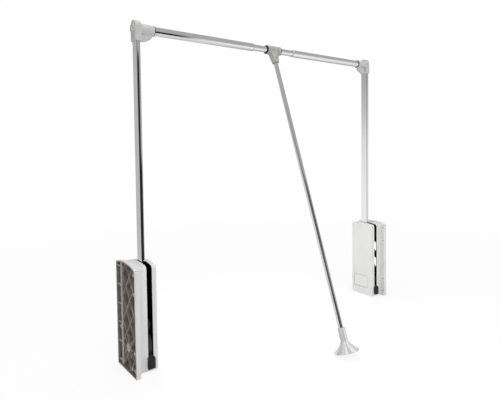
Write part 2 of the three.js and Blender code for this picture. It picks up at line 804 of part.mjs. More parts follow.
// Corner connector: arm socket, screw boss, rod collar and gusset
function cornerConnector() {
  const archZ = rodHeight + socketAbove - socketHalfDepth;
  const arch = new THREE.Shape();
  arch.moveTo(-armSetback - socketHalfDepth, rodHeight - socketBelow);
  arch.lineTo(-armSetback + socketHalfDepth, rodHeight - socketBelow);
  arch.lineTo(-armSetback + socketHalfDepth, archZ);
  arch.absarc(-armSetback, archZ, socketHalfDepth, 0, Math.PI, false);
  arch.lineTo(-armSetback - socketHalfDepth, rodHeight - socketBelow);
  const socket = softSlabX(arch, socketNear, socketFar, socketEdge, 1);
  const bossNear = socketNear - bossHeight;
  const boss = armCylinder(bossRadius, bossNear, socketNear + socketEdge, rodHeight, roundSteps);
  const collar = turnedX([
    [0, socketFar - socketEdge], [collarRadius, socketFar - socketEdge],
    [collarMouthRadius, collarEnd], [0, collarEnd],
  ], roundSteps).translate(0, -armSetback, rodHeight);
  const gusset = cylinderY(
    1, -armSetback - gussetHalfThickness, -armSetback + gussetHalfThickness, 0, 0, roundSteps,
  );
  const belly = gusset.scale(gussetLength, 1, gussetDrop);
  belly.translate(socketFar - socketEdge, 0, rodHeight - collarMouthRadius);
  const quarter = common(belly, block(
    socketFar - socketEdge, socketFar + gussetLength,
    -armSetback - socketHalfDepth, -armSetback + socketHalfDepth, rodHeight - socketBelow, rodHeight,
  ));
  const half = armThickness / 2 + seatGap;
  const deep = armDepth / 2 + seatGap;
  const armRoom = block(
    armPlane - half, armPlane + half, -armSetback - deep, -armSetback + deep,
    rodHeight - socketBelow - cutOverrun, rodHeight + socketAbove - armTopInset + seatGap,
  );
  const tubeRoom = armCylinder(
    outerTubeRadius + seatGap, tubeStart, collarEnd + cutOverrun, rodHeight, roundSteps,
  );
  const screwBore = armCylinder(
    fixScrewRadius + seatGap, bossNear - cutOverrun, tubeStart + cutOverrun, rodHeight, smallSteps,
  );
  const headRoom = armCylinder(
    fixScrewHeadRadius + seatGap, bossNear - cutOverrun, bossNear + fixScrewHeadHeight + seatGap,
    rodHeight, roundSteps,
  );
  return cut(join(socket, boss, collar, quarter), armRoom, tubeRoom, screwBore, headRoom);
}

function connectorScrew() {
  const headNear = socketNear - bossHeight;
  const headFar = headNear + fixScrewHeadHeight;
  const head = armCylinder(fixScrewHeadRadius, headNear, headFar, rodHeight, roundSteps);
  const shank = armCylinder(fixScrewRadius, headFar - seatGap, tubeStart - seatGap, rodHeight, smallSteps);
  const drives = [0, quarterTurn].map((turn) => {
    const bar = block(
      headNear - cutOverrun, headNear + fixScrewSlotDepth, -fixScrewHeadRadius / 2, fixScrewHeadRadius / 2,
      -fixScrewSlotWidth / 2, fixScrewSlotWidth / 2,
    );
    return bar.rotateX(turn).translate(0, -armSetback, rodHeight);
  });
  return cut(join(head, shank), ...drives);
}

function collarBush() {
  const near = collarEnd + seatGap;
  const ring = ringX(outerTubeRadius + seatGap, bushLipRadius, near, near + bushLip, roundSteps);
  return ring.translate(0, -armSetback, rodHeight);
}

function outerTube() {
  const end = openingWidth / 2 - tubeGapHalf - endRingLip - seatGap;
  const ring = ringX(outerTubeRadius - tubeWall, outerTubeRadius, tubeStart + seatGap, end, roundSteps);
  return ring.translate(0, -armSetback, rodHeight);
}

function outerTubeWithLock() {
  const place = openingWidth / 2 - tubeGapHalf - lockScrewInset;
  const hole = cylinderZ(
    lockScrewRadius + seatGap, rodHeight, rodHeight + 2 * outerTubeRadius, place, -armSetback, smallSteps,
  );
  return cut(outerTube(), hole);
}

function tubeEndRing() {
  const end = openingWidth / 2 - tubeGapHalf;
  const lip = end - endRingLip;
  const sleeve = innerTubeRadius + seatGap + endRingWall;
  const ring = turnedX([
    [innerTubeRadius + seatGap, lip - endRingDepth], [sleeve, lip - endRingDepth], [sleeve, lip],
    [outerTubeRadius, lip], [outerTubeRadius, end], [innerTubeRadius + seatGap, end],
    [innerTubeRadius + seatGap, lip - endRingDepth],
  ], roundSteps);
  return ring.translate(0, -armSetback, rodHeight);
}

function tubeEndRingWithLock() {
  const place = openingWidth / 2 - tubeGapHalf - lockScrewInset;
  const hole = cylinderZ(
    lockScrewRadius + seatGap, rodHeight, rodHeight + 2 * outerTubeRadius, place, -armSetback, smallSteps,
  );
  return cut(tubeEndRing(), hole);
}

function lockScrew() {
  const place = openingWidth / 2 - tubeGapHalf - lockScrewInset;
  const bottom = rodHeight + innerTubeRadius + seatGap;
  const top = rodHeight + outerTubeRadius + lockScrewHead;
  return cylinderZ(lockScrewRadius, bottom, top, place, -armSetback, smallSteps);
}

// Pieces of one side: X is the distance from the mounting plane
const sidePieces = [
  ['housing_base', housingBase, paint],
  ['housing_cover', housingCover, paint],
  ...screwPlaces().map((place, count) => [`cover_screw_${count + 1}`, () => coverScrew(place), steel]),
  ['pivot_pin', pivotPin, steel],
  ['lever', lever, blackPlastic],
  ...rivetHeights().map((height, count) => [`lever_rivet_${count + 1}`, () => leverRivet(height), steel]),
  ['cam_roller', camRoller, nylon],
  ['roller_pin', rollerPin, steel],
  ['plunger', plunger, blackPlastic],
  ['lift_spring', liftSpring, steel],
  ['guide_rod', guideRod, steel],
  ['spring_seat', springSeat, blackPlastic],
  ['front_bumper', frontBumper, rubber],
  ['upright_stop', uprightStop, rubber],
  ['arm_tube', armTube, chrome],
  ['corner_connector', cornerConnector, satinGrey],
  ['connector_screw', connectorScrew, chrome],
  ['collar_bush', collarBush, blackPlastic],
];

// Pieces of the middle: X and Y are measured from the hanging rod's own axis, along the pull rod for Z
function innerTube() {
  const half = innerTubeLength / 2;
  return ringX(innerTubeRadius - tubeWall, innerTubeRadius, -half, half, roundSteps);
}

// Funnel of the tee, wide along the rod and narrowing to the pull rod's round mouth
function teeFunnel() {
  const geometry = new THREE.CylinderGeometry(1, 1, funnelLength, roundSteps).rotateX(quarterTurn);
  const position = geometry.getAttribute('position');
  for (let point = 0; point < position.count; point += 1) {
    const share = position.getZ(point) / funnelLength + 1 / 2;
    const width = funnelMouthRadius + (funnelHalfWidth - funnelMouthRadius) * share;
    const depth = funnelMouthRadius + (funnelHalfDepth - funnelMouthRadius) * share;
    position.setX(point, position.getX(point) * width);
    position.setY(point, position.getY(point) * depth);
  }
  return geometry.translate(0, 0, -funnelLength / 2);
}

function teeBody() {
  const sleeve = cylinderX(teeRadius, -teeHalfLength, teeHalfLength, 0, 0, roundSteps);
  const cutHalf = teeHalfLength + cutOverrun;
  const cutBottom = -funnelLength - cutOverrun;
  const tubeRoom = cylinderX(teeBoreRadius, -cutHalf, cutHalf, 0, 0, roundSteps);
  const rodRoom = cylinderZ(pullRodRadius + seatGap, cutBottom, -rodSeatDepth, 0, 0, roundSteps);
  const recess = cylinderZ(
    funnelRecessRadius, cutBottom, -funnelLength + funnelRecess, 0, 0, roundSteps,
  );
  const pinBore = cylinderY(teePinRadius + seatGap, -teeRadius, teeRadius, 0, -teePinHeight, smallSteps);
  return cut(join(sleeve, teeFunnel()), tubeRoom, rodRoom, recess, pinBore);
}

function teeBush(side) {
  const bore = innerTubeRadius + seatGap;
  const sleeve = teeBoreRadius - seatGap;
  const lip = teeHalfLength + seatGap;
  const ring = turnedX([
    [bore, lip - teeBushDepth], [sleeve, lip - teeBushDepth], [sleeve, lip], [bushLipRadius, lip],
    [bushLipRadius, lip + bushLip], [bore, lip + bushLip], [bore, lip - teeBushDepth],
  ], roundSteps);
  return side > 0 ? ring : mirrored(ring);
}

function teePin() {
  const share = 1 - teePinHeight / funnelLength;
  const reach = funnelMouthRadius + (funnelHalfDepth - funnelMouthRadius) * share - seatGap;
  return cylinderY(teePinRadius, -reach, reach, 0, -teePinHeight, smallSteps);
}

function pullRod() {
  const top = -rodSeatDepth - seatGap;
  const bottom = -(pullLength - gripLength) - gripSocketDepth;
  const tube = ringZ(pullRodRadius - pullWall, pullRodRadius, bottom, top, roundSteps);
  const pinHole = cylinderY(teePinRadius + seatGap, -teeRadius, teeRadius, 0, -teePinHeight, smallSteps);
  return cut(tube, pinHole);
}

function rodPlug() {
  const bottom = -(pullLength - gripLength) - gripSocketDepth;
  const bore = gripScrewRadius + seatGap;
  return ringZ(bore, pullRodRadius - pullWall - seatGap, bottom, bottom + plugLength, roundSteps);
}

// Trumpet-shaped grip, hollow below, with a socket for the pull rod above
function gripBell() {
  const top = -(pullLength - gripLength);
  const rim = -pullLength;
  const neckEnd = top - gripNeckLength;
  const socketEnd = top - gripSocketDepth - seatGap;
  const flare = (share, wall) => {
    const swell = (bellRadius - gripNeckRadius) * share ** 2 * (3 - share) / 2;
    return [gripNeckRadius + swell - wall, neckEnd + (rim + gripLipThickness - neckEnd) * share];
  };
  const outside = [];
  const inside = [];
  for (let step = 0; step <= arcSteps; step += 1) {
    outside.push(flare(step / arcSteps, 0));
    inside.push(flare(1 - step / arcSteps, gripWall));
  }
  const cavityTop = socketEnd - gripWeb;
  const bore = gripScrewRadius + seatGap;
  const socket = pullRodRadius + seatGap;
  const cavityRadius = gripNeckRadius - gripWall;
  const points = [
    [socket, top], [gripNeckRadius, top], ...outside,
    [bellRadius, rim], [bellRadius - gripWall, rim], ...inside,
    [cavityRadius, cavityTop], [bore, cavityTop], [bore, socketEnd], [socket, socketEnd], [socket, top],
  ];
  return turnedZ(points.reverse(), roundSteps);
}

function gripScrew() {
  const cavityTop = -(pullLength - gripLength) - gripSocketDepth - seatGap - gripWeb;
  const headTop = cavityTop - seatGap;
  return turnedZ([
    [0, headTop - gripScrewHeadHeight], [gripScrewHeadRadius, headTop - gripScrewHeadHeight],
    [gripScrewHeadRadius, headTop], [gripScrewRadius, headTop],
    [gripScrewRadius, headTop + gripScrewLength], [0, headTop + gripScrewLength],
  ], smallSteps);
}

function mirrored(geometry) {
  const flipped = geometry.index ? geometry.toNonIndexed() : geometry.clone();
  const position = flipped.getAttribute('position');
  const corner = [0, 1, 2].map(() => new THREE.Vector3());
  for (let face = 0; face < position.count; face += 3) {
    corner.forEach((point, turn) => point.fromBufferAttribute(position, face + turn));
    corner.reverse().forEach((point, turn) => position.setXYZ(face + turn, -point.x, point.y, point.z));
    corner.reverse();
  }
  return flipped;
}

function meshOf(name, geometry, look) {
  const shown = geometry.index ? geometry.toNonIndexed() : geometry;
  shown.computeVertexNormals();
  const mesh = new THREE.Mesh(shown, new THREE.MeshStandardMaterial(look));
  mesh.name = name;
  return mesh;
}

// One side of the lift, built from its mounting plane inwards
function sideGroup(name, side) {
  const group = new THREE.Group();
  const tube = side > 0 ? outerTubeWithLock : outerTube;
  const ring = side > 0 ? tubeEndRingWithLock : tubeEndRing;
  const pieces = [...sidePieces, ['outer_tube', tube, chrome], ['tube_end_ring', ring, silverPaint]];
  if (side > 0) {
    pieces.push(['lock_screw', lockScrew, blackPlastic]);
  }
  pieces.forEach(([piece, build, look]) => {
    const geometry = side > 0 ? mirrored(build(side)) : build(side);
    group.add(meshOf(`${name}_${piece}`, geometry, look));
  });
  group.position.set((side * openingWidth) / 2, depthShift, 0);
  return group;
}

// Inner tube and tee, with the pull rod hanging from them and leaning forward
function middleGroup() {
  const group = new THREE.Group();
  const leaning = new THREE.Group();
  group.add(meshOf('inner_tube', innerTube(), chrome));
  leaning.add(meshOf('tee_connector', teeBody(), satinGrey));
  leaning.add(meshOf('left_tee_bush', teeBush(-1), blackPlastic));
  leaning.add(meshOf('right_tee_bush', teeBush(1), blackPlastic));
  leaning.add(meshOf('tee_pin', teePin(), steel));
  leaning.add(meshOf('pull_rod', pullRod(), chrome));
  leaning.add(meshOf('rod_plug', rodPlug(), blackPlastic));
  leaning.add(meshOf('grip_bell', gripBell(), silverPaint));
  leaning.add(meshOf('grip_screw', gripScrew(), steel));
  leaning.rotation.x = -pullLean;
  group.add(leaning);
  group.position.set(0, depthShift - armSetback, rodHeight);
  return group;
}

const lift = new THREE.Group();
lift.name = 'pull_down_closet_rod';
lift.add(sideGroup('left', -1));
lift.add(sideGroup('right', 1));
lift.add(middleGroup());

export default lift;
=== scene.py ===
"""Blender looks for a pull down closet rod: two sprung side housings, swinging arms and a telescopic rod.

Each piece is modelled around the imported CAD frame, stands for one of its nodes and rides on its body.
The unit is the metre. A side piece is drawn in its side's own frame, where x runs from the mounting
plane into the wardrobe, -y to the front and z up, and is then copied to the left and the right side.
"""

import json
import logging
import math
from collections.abc import Callable, Iterable, Sequence
from dataclasses import dataclass, field
from enum import Enum

import bpy
from mathutils import Matrix, Vector

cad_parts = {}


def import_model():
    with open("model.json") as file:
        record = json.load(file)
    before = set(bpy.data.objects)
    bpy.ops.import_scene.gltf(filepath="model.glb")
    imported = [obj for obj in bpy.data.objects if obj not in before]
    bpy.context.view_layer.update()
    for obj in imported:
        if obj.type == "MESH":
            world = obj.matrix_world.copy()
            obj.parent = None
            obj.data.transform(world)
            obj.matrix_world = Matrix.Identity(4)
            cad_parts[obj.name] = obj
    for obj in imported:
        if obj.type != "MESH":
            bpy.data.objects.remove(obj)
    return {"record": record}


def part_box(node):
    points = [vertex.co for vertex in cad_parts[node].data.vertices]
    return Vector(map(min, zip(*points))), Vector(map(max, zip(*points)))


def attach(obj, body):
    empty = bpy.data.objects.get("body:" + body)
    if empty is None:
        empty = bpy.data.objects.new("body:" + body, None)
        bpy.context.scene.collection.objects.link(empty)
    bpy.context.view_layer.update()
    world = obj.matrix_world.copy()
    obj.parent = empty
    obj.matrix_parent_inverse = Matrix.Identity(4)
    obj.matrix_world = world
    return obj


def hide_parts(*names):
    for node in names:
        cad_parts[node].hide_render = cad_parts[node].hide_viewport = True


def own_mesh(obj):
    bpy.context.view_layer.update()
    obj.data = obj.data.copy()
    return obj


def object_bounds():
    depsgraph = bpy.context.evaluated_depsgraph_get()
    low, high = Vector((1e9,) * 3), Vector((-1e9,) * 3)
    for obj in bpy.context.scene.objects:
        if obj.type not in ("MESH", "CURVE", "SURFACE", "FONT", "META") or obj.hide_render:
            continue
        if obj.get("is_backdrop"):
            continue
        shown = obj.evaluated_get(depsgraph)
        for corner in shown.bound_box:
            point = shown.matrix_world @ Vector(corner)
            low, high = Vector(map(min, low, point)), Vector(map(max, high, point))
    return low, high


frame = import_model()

log = logging.getLogger("closet_rod")

Point = tuple[float, float]
Spot = tuple[float, float, float]
Colour = tuple[float, float, float]
Piece = bpy.types.Object
Socket = bpy.types.NodeSocket
EdgeTest = Callable[[Vector, Vector], bool]

CAD_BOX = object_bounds()
HALF_OPENING = 0.475
DEPTH_SHIFT = 0.183386
ROD_HEIGHT = 0.828
ARM_PLANE = 0.0435
ARM_SETBACK = 0.055
LEAN = math.radians(19)
PIVOT = (-0.062, 0.059)
PIVOT_BORE = 0.0053
PIN_BORE = 0.0023
SEAT_GAP = 0.0003
OVERRUN = 0.002
TURN = 2 * math.pi
ROUND = 96
HALF_ROUND = 48
SMALL_ROUND = 40
FEW_ROUND = 32
FINE_ROUND = 64
CLOSE = 1e-5
MERGE = 1e-6
DOUBLE = 1e-7
STEP = 0.001
EDGE = 0.0006
SLIM_EDGE = 0.0005
FINE_EDGE = 0.0003
BUSH = 0.0127
BUSH_HEIGHT = 0.0015
BUSH_CHAMFER = 0.0007
SMOOTH_ANGLE = 35.0


class Side(Enum):
    """A side of the wardrobe, with the sign of its x places."""

    LEFT = -1
    RIGHT = 1

    @property
    def label(self) -> str:
        """The side's word in the names of its pieces."""
        return self.name.lower()


class Cut(Enum):
    """What a second solid does to the first."""

    JOIN = "UNION"
    TAKE = "DIFFERENCE"
    KEEP = "INTERSECT"


class Way(Enum):
    """An axis of the frame."""

    X = (1.0, 0.0, 0.0)
    Y = (0.0, 1.0, 0.0)
    Z = (0.0, 0.0, 1.0)


# Shapes that repeat


def beyond(x: float) -> EdgeTest:
    """Picks the edges that lie at an x or past it."""
    return lambda a, b: min(a.x, b.x) > x - CLOSE


def before(x: float) -> EdgeTest:
    """Picks the edges that lie at an x or short of it."""
    return lambda a, b: max(a.x, b.x) < x + CLOSE


def level(a: Vector, b: Vector) -> bool:
    """Picks the edges of a slab's two outlines."""
    return abs(a.x - b.x) < CLOSE


def along(axis: int) -> EdgeTest:
    """Picks the edges that run along the axis of this number."""
    return lambda a, b: abs(a[axis] - b[axis]) > STEP


def arc(centre: Point, radius: float, start: float, end: float, steps: int) -> list[Point]:
    """Places along an arc.

    Args:
        centre: The arc's centre.
        radius: Its radius.
        start: The angle of its first place.
        end: The angle of its last place.
        steps: How many steps lead from one to the other.

    Returns:
        The places, with both ends.
    """
    angles = (start + (end - start) * step / steps for step in range(steps + 1))
    return [(centre[0] + radius * math.cos(turn), centre[1] + radius * math.sin(turn)) for turn in angles]


def bush_lip(face: float, bore: float) -> list[Point]:
    """The profile of a bush's lip, which stands on a face and closes a mouth round a tube."""
    end = face + BUSH_HEIGHT
    return [(BUSH, face), (BUSH, end - BUSH_CHAMFER), (BUSH - BUSH_CHAMFER, end), (bore, end)]


# Workbench


class Bench:
    """The modelling steps that every piece shares, in the order in which they are done by hand."""

    @staticmethod
    def clear() -> None:
        """Leaves edit mode and deselects everything."""
        active = bpy.context.view_layer.objects.active
        if active is not None and active.mode != "OBJECT":
            bpy.ops.object.mode_set(mode="OBJECT")
        bpy.ops.object.select_all(action="DESELECT")

    @staticmethod
    def pick(piece: Piece) -> None:
        """Selects one piece alone.

        Args:
            piece: The piece, which also becomes the active one.
        """
        Bench.clear()
        piece.select_set(True)
        bpy.context.view_layer.objects.active = piece

    @staticmethod
    def edit(piece: Piece, mode: str = "VERT") -> None:
        """Opens a piece in edit mode with nothing selected.

        Args:
            piece: The piece to edit.
            mode: What is selected there: VERT, EDGE or FACE.
        """
        Bench.pick(piece)
        bpy.ops.object.mode_set(mode="EDIT")
        bpy.ops.mesh.select_mode(type=mode)
        bpy.ops.mesh.select_all(action="DESELECT")

    @staticmethod
    def done() -> Piece:
        """Leaves edit mode and gives the piece back."""
        bpy.ops.object.mode_set(mode="OBJECT")
        return bpy.context.view_layer.objects.active

    @staticmethod
    def fix(piece: Piece) -> Piece:
        """Applies a piece's place, turn and scale to its mesh.

        Args:
            piece: The piece.

        Returns:
            The piece, at the origin.
        """
        Bench.pick(piece)
        bpy.ops.object.transform_apply(location=True, rotation=True, scale=True)
        return piece

    @staticmethod
    def outwards(piece: Piece) -> Piece:
        """Merges doubles and points all faces outwards.

        Args:
            piece: The piece.

        Returns:
            The piece.
        """
        Bench.edit(piece)
        bpy.ops.mesh.select_all(action="SELECT")
        bpy.ops.mesh.remove_doubles(threshold=MERGE)
        bpy.ops.mesh.normals_make_consistent(inside=False)
        return Bench.done()

    @staticmethod
    def chain(points: Sequence[Spot], closed: bool) -> Piece:
        """Draws edges through points by extruding one corner after another.

        Args:
            points: The places, in order.
            closed: Whether the last place joins the first.

        Returns:
            The chain, open in edit mode, with all of it selected.
        """
        Bench.clear()
        bpy.ops.mesh.primitive_plane_add(size=STEP, location=points[0])
        piece = bpy.context.object
        bpy.ops.object.mode_set(mode="EDIT")
        bpy.ops.mesh.select_mode(type="VERT")
        bpy.ops.mesh.select_all(action="SELECT")
        bpy.ops.mesh.merge(type="CENTER")
        places = [Vector(point) for point in points]
        for here, there in zip(places, places[1:] + (places[:1] if closed else [])):
            bpy.ops.mesh.extrude_region_move(TRANSFORM_OT_translate={"value": there - here})
        bpy.ops.mesh.select_all(action="SELECT")
        if closed:
            bpy.ops.mesh.remove_doubles(threshold=DOUBLE)
        return piece

    @staticmethod
    def prism(outline: Sequence[Point], near: float, far: float) -> Piece:
        """A slab with an outline in y and z, extruded along x.

        Args:
            outline: The corners as y and z, in order.
            near: The lower x.
            far: The upper x.

        Returns:
            The closed slab.
        """
        Bench.chain([(near, y, z) for y, z in outline], closed=True)
        bpy.ops.mesh.edge_face_add()
        bpy.ops.mesh.extrude_region_move(TRANSFORM_OT_translate={"value": (far - near, 0, 0)})
        return Bench.fix(Bench.outwards(Bench.done()))

    @staticmethod
    def turned(
        profile: Sequence[Point], way: Way = Way.X, centre: Point = (0.0, 0.0), steps: int = ROUND
    ) -> Piece:
        """A turned solid.

        Args:
            profile: Corners as distance from the axis and place along it; a closed loop unless it
                starts and ends on the axis.
            way: The axis.
            centre: Where the axis is, as the two other coordinates in their order.
            steps: How many faces go round.

        Returns:
            The closed solid.
        """
        first, second = centre
        if way is Way.X:
            points = [(place, first, second + radius) for radius, place in profile]
            middle = (0.0, first, second)
        elif way is Way.Y:
            points = [(first + radius, place, second) for radius, place in profile]
            middle = (first, 0.0, second)
        else:
            points = [(first + radius, second, place) for radius, place in profile]
            middle = (first, second, 0.0)
        on_axis = abs(profile[0][0]) < CLOSE and abs(profile[-1][0]) < CLOSE
        Bench.chain(points, closed=not on_axis)
        bpy.ops.mesh.spin(steps=steps, angle=TURN, center=middle, axis=way.value)
        return Bench.fix(Bench.outwards(Bench.done()))

    @staticmethod
    def rod(
        radius: float, start: float, end: float, way: Way, centre: Point, steps: int = SMALL_ROUND
    ) -> Piece:
        """A round bar, as turned() makes it, from start to end along its axis."""
        return Bench.turned([(0, start), (radius, start), (radius, end), (0, end)], way, centre, steps)

    @staticmethod
    def pin(
        radius: float, start: float, end: float, chamfer: float, centre: Point, steps: int, bore: float = 0.0
    ) -> Piece:
        """A round bar along x with chamfered ends.

        Args:
            radius: The bar's radius.
            start: Where it starts.
            end: Where it ends.
            chamfer: How wide both chamfers are.
            centre: Its axis as y and z.
            steps: How many faces go round.
            bore: The radius of the hole through it, if it has one.

        Returns:
            The bar.
        """
        return Bench.turned([
            (bore, start), (radius - chamfer, start), (radius, start + chamfer),
            (radius, end - chamfer), (radius - chamfer, end), (bore, end),
        ], Way.X, centre, steps)

    @staticmethod
    def block(low: Spot, high: Spot, edge: float = 0.0, segments: int = 3) -> Piece:
        """A block between two corners.

        Args:
            low: Its lowest corner.
            high: Its highest corner.
            edge: How far all its edges are rounded, if at all.
            segments: How many faces make a rounded edge.

        Returns:
            The block.
        """
        Bench.clear()
        bpy.ops.mesh.primitive_cube_add(size=1)
        piece = bpy.context.object
        piece.location = [(a + b) / 2 for a, b in zip(low, high)]
        piece.scale = [b - a for a, b in zip(low, high)]
        Bench.fix(piece)
        return Bench.round(piece, lambda a, b: True, edge, segments) if edge else piece

    @staticmethod
    def cross(place: Point, start: float, end: float, long: float, slim: float) -> list[Piece]:
        """The two crossing blocks that cut a screw's recess.

        Args:
            place: The screw's axis as y and z.
            start: The lower x.
            end: The upper x.
            long: The length of an arm.
            slim: The width of an arm.

        Returns:
            The two blocks.
        """
        y, z = place
        return [
            Bench.block((start, y - wide / 2, z - tall / 2), (end, y + wide / 2, z + tall / 2))
            for wide, tall in ((long, slim), (slim, long))
        ]

    @staticmethod
    def round(piece: Piece, test: EdgeTest, width: float, segments: int = 4) -> Piece:
        """Bevels some edges of a piece.

        Args:
            piece: The piece.
            test: Picks the edges by the places of their two ends.
            width: How far the bevel reaches.
            segments: How many faces it has.

        Returns:
            The piece.
        """
        Bench.edit(piece, "EDGE")
        bpy.ops.object.mode_set(mode="OBJECT")
        corners = piece.data.vertices
        for edge in piece.data.edges:
            edge.select = test(*(corners[index].co for index in edge.vertices))
        bpy.ops.object.mode_set(mode="EDIT")
        bpy.ops.mesh.bevel(offset=width, segments=segments, affect="EDGES", clamp_overlap=True)
        return Bench.done()

    @staticmethod
    def modify(piece: Piece, kind: str, **settings: object) -> None:
        """Adds a modifier to the active piece and applies it.

        Args:
            piece: The piece.
            kind: The modifier's type.
            settings: Its settings, by name.
        """
        bpy.ops.object.modifier_add(type=kind)
        step = piece.modifiers[-1]
        for name, value in settings.items():
            setattr(step, name, value)
        bpy.ops.object.modifier_apply(modifier=step.name)

    @staticmethod
    def work(piece: Piece, cut: Cut, tools: Iterable[Piece]) -> Piece:
        """Works a piece with other solids and uses them up.

        Args:
            piece: The piece.
            cut: Whether they are joined, taken away or only what they share is kept.
            tools: The other solids.

        Returns:
            The piece.
        """
        for tool in tools:
            Bench.pick(piece)
            Bench.modify(piece, "BOOLEAN", operation=cut.value, solver="MANIFOLD", object=tool)
            bpy.data.objects.remove(tool)
        return piece

    @staticmethod
    def cast(piece: Piece, grain: float, smoothing: int) -> None:
        """Melts joined solids into one casting with soft inner and outer edges.

        Args:
            piece: The joined solids.
            grain: The size of the new faces.
            smoothing: How many times the surface is relaxed.
        """
        Bench.pick(piece)
        Bench.modify(piece, "REMESH", mode="VOXEL", voxel_size=grain)
        Bench.modify(piece, "SMOOTH", factor=0.5, iterations=smoothing)

    @staticmethod
    def copy(piece: Piece) -> Piece:
        """A copy of a piece with its own mesh.

        Args:
            piece: The piece to copy.

        Returns:
            The copy.
        """
        Bench.pick(piece)
        bpy.ops.object.duplicate(linked=False)
        return bpy.context.view_layer.objects.active

    @staticmethod
    def mirror(piece: Piece) -> Piece:
        """Turns a piece into its mirror image across x = 0."""
        piece.scale = (-1, 1, 1)
        return Bench.outwards(Bench.fix(piece))

    @staticmethod
    def turn_about(piece: Piece, angle: float, centre: Spot) -> Piece:
        """Turns a piece about an axis along x.

        Args:
            piece: The piece.
            angle: How far it turns, in radians.
            centre: A point of the axis.

        Returns:
            The piece.
        """
        turn = Matrix.Rotation(angle, 4, Vector(Way.X.value))
        shift = Matrix.Translation(Vector(centre))
        piece.matrix_world = shift @ turn @ shift.inverted() @ piece.matrix_world
        return Bench.fix(piece)

    @staticmethod
    def dress(piece: Piece, finishes: "Sequence[Finish]", choose: Callable[[Vector, float], int]) -> None:
        """Gives each face one of several finishes.

        Args:
            piece: The piece.
            finishes: The finishes.
            choose: Gives a finish's number from a face's middle and how far it faces along x.
        """
        piece.data.materials.clear()
        for finish in finishes:
            piece.data.materials.append(finish.material())
        for face in piece.data.polygons:
            face.material_index = choose(face.center, face.normal.x)

    @staticmethod
    def settle(piece: Piece, node: str, finish: "Finish", angle: float = SMOOTH_ANGLE) -> Piece:
        """Finishes a piece: shading, material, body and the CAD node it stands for.

        Args:
            piece: The finished mesh.
            node: The CAD node that it replaces.
            finish: What it is made of.
            angle: The edge angle in degrees up to which shading is smooth.

        Returns:
            The piece.
        """
        Bench.fix(piece)
        bpy.ops.object.shade_smooth_by_angle(angle=math.radians(angle))
        piece.name = f"{node}_look"
        piece.data.name = piece.name
        if not any(piece.data.materials):
            piece.data.materials.clear()
            piece.data.materials.append(finish.material())
        bodies = frame["record"]["behaviour"]["bodies"]
        body = next(name for name, members in bodies.items() if node in members)
        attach(piece, body)
        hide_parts(node)
        low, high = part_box(node)
        log.info(
            "%s: %d faces on %s, %.1f x %.1f x %.1f mm in the CAD", piece.name,
            len(piece.data.polygons), body, *(1000 * (b - a) for a, b in zip(low, high)),
        )
        return piece

    @staticmethod
    def on_side(piece: Piece, side: Side, part: str, finish: "Finish", angle: float = SMOOTH_ANGLE) -> Piece:
        """Moves a piece from its side's own frame to that side and settles it.

        Args:
            piece: The piece, drawn from the mounting plane inwards.
            side: Where it goes.
            part: The node's name without its side.
            finish: What it is made of.
            angle: The edge angle in degrees up to which shading is smooth.

        Returns:
            The settled piece.
        """
        if side is Side.RIGHT:
            Bench.mirror(piece)
        piece.location = (side.value * HALF_OPENING, DEPTH_SHIFT, 0)
        return Bench.settle(piece, f"{side.label}_{part}", finish, angle)

    @staticmethod
    def both_sides(piece: Piece, part: str, finish: "Finish", angle: float = SMOOTH_ANGLE) -> list[Piece]:
        """Settles a piece on the left side and a mirrored copy of it on the right side.

        Args:
            piece: The piece, drawn from the mounting plane inwards.
            part: The node's name without its side.
            finish: What it is made of.
            angle: The edge angle in degrees up to which shading is smooth.

        Returns:
            The two settled pieces.
        """
        pieces = (piece, Bench.copy(piece))
        return [Bench.on_side(one, side, part, finish, angle) for one, side in zip(pieces, Side)]


# Finishes


class Value:
    """A number socket in an expression; each operator adds a Math node."""

    def __init__(self, shop: "Shop", socket: Socket) -> None:
        """Keeps the socket and the shop that adds nodes for it."""
        self.shop = shop
        self.socket = socket

    def _with(self, operation: str, first: "Value | float", second: "Value | float") -> "Value":
        """Adds one Math node and gives what comes out of it."""
        node = self.shop.node("ShaderNodeMath", {"operation": operation}, {0: first, 1: second})
        return Value(self.shop, node.outputs[0])

    def __add__(self, other: "Value | float") -> "Value":
        """Adds."""
        return self._with("ADD", self, other)

    __radd__ = __add__

    def __mul__(self, other: "Value | float") -> "Value":
        """Multiplies."""
        return self._with("MULTIPLY", self, other)

    __rmul__ = __mul__


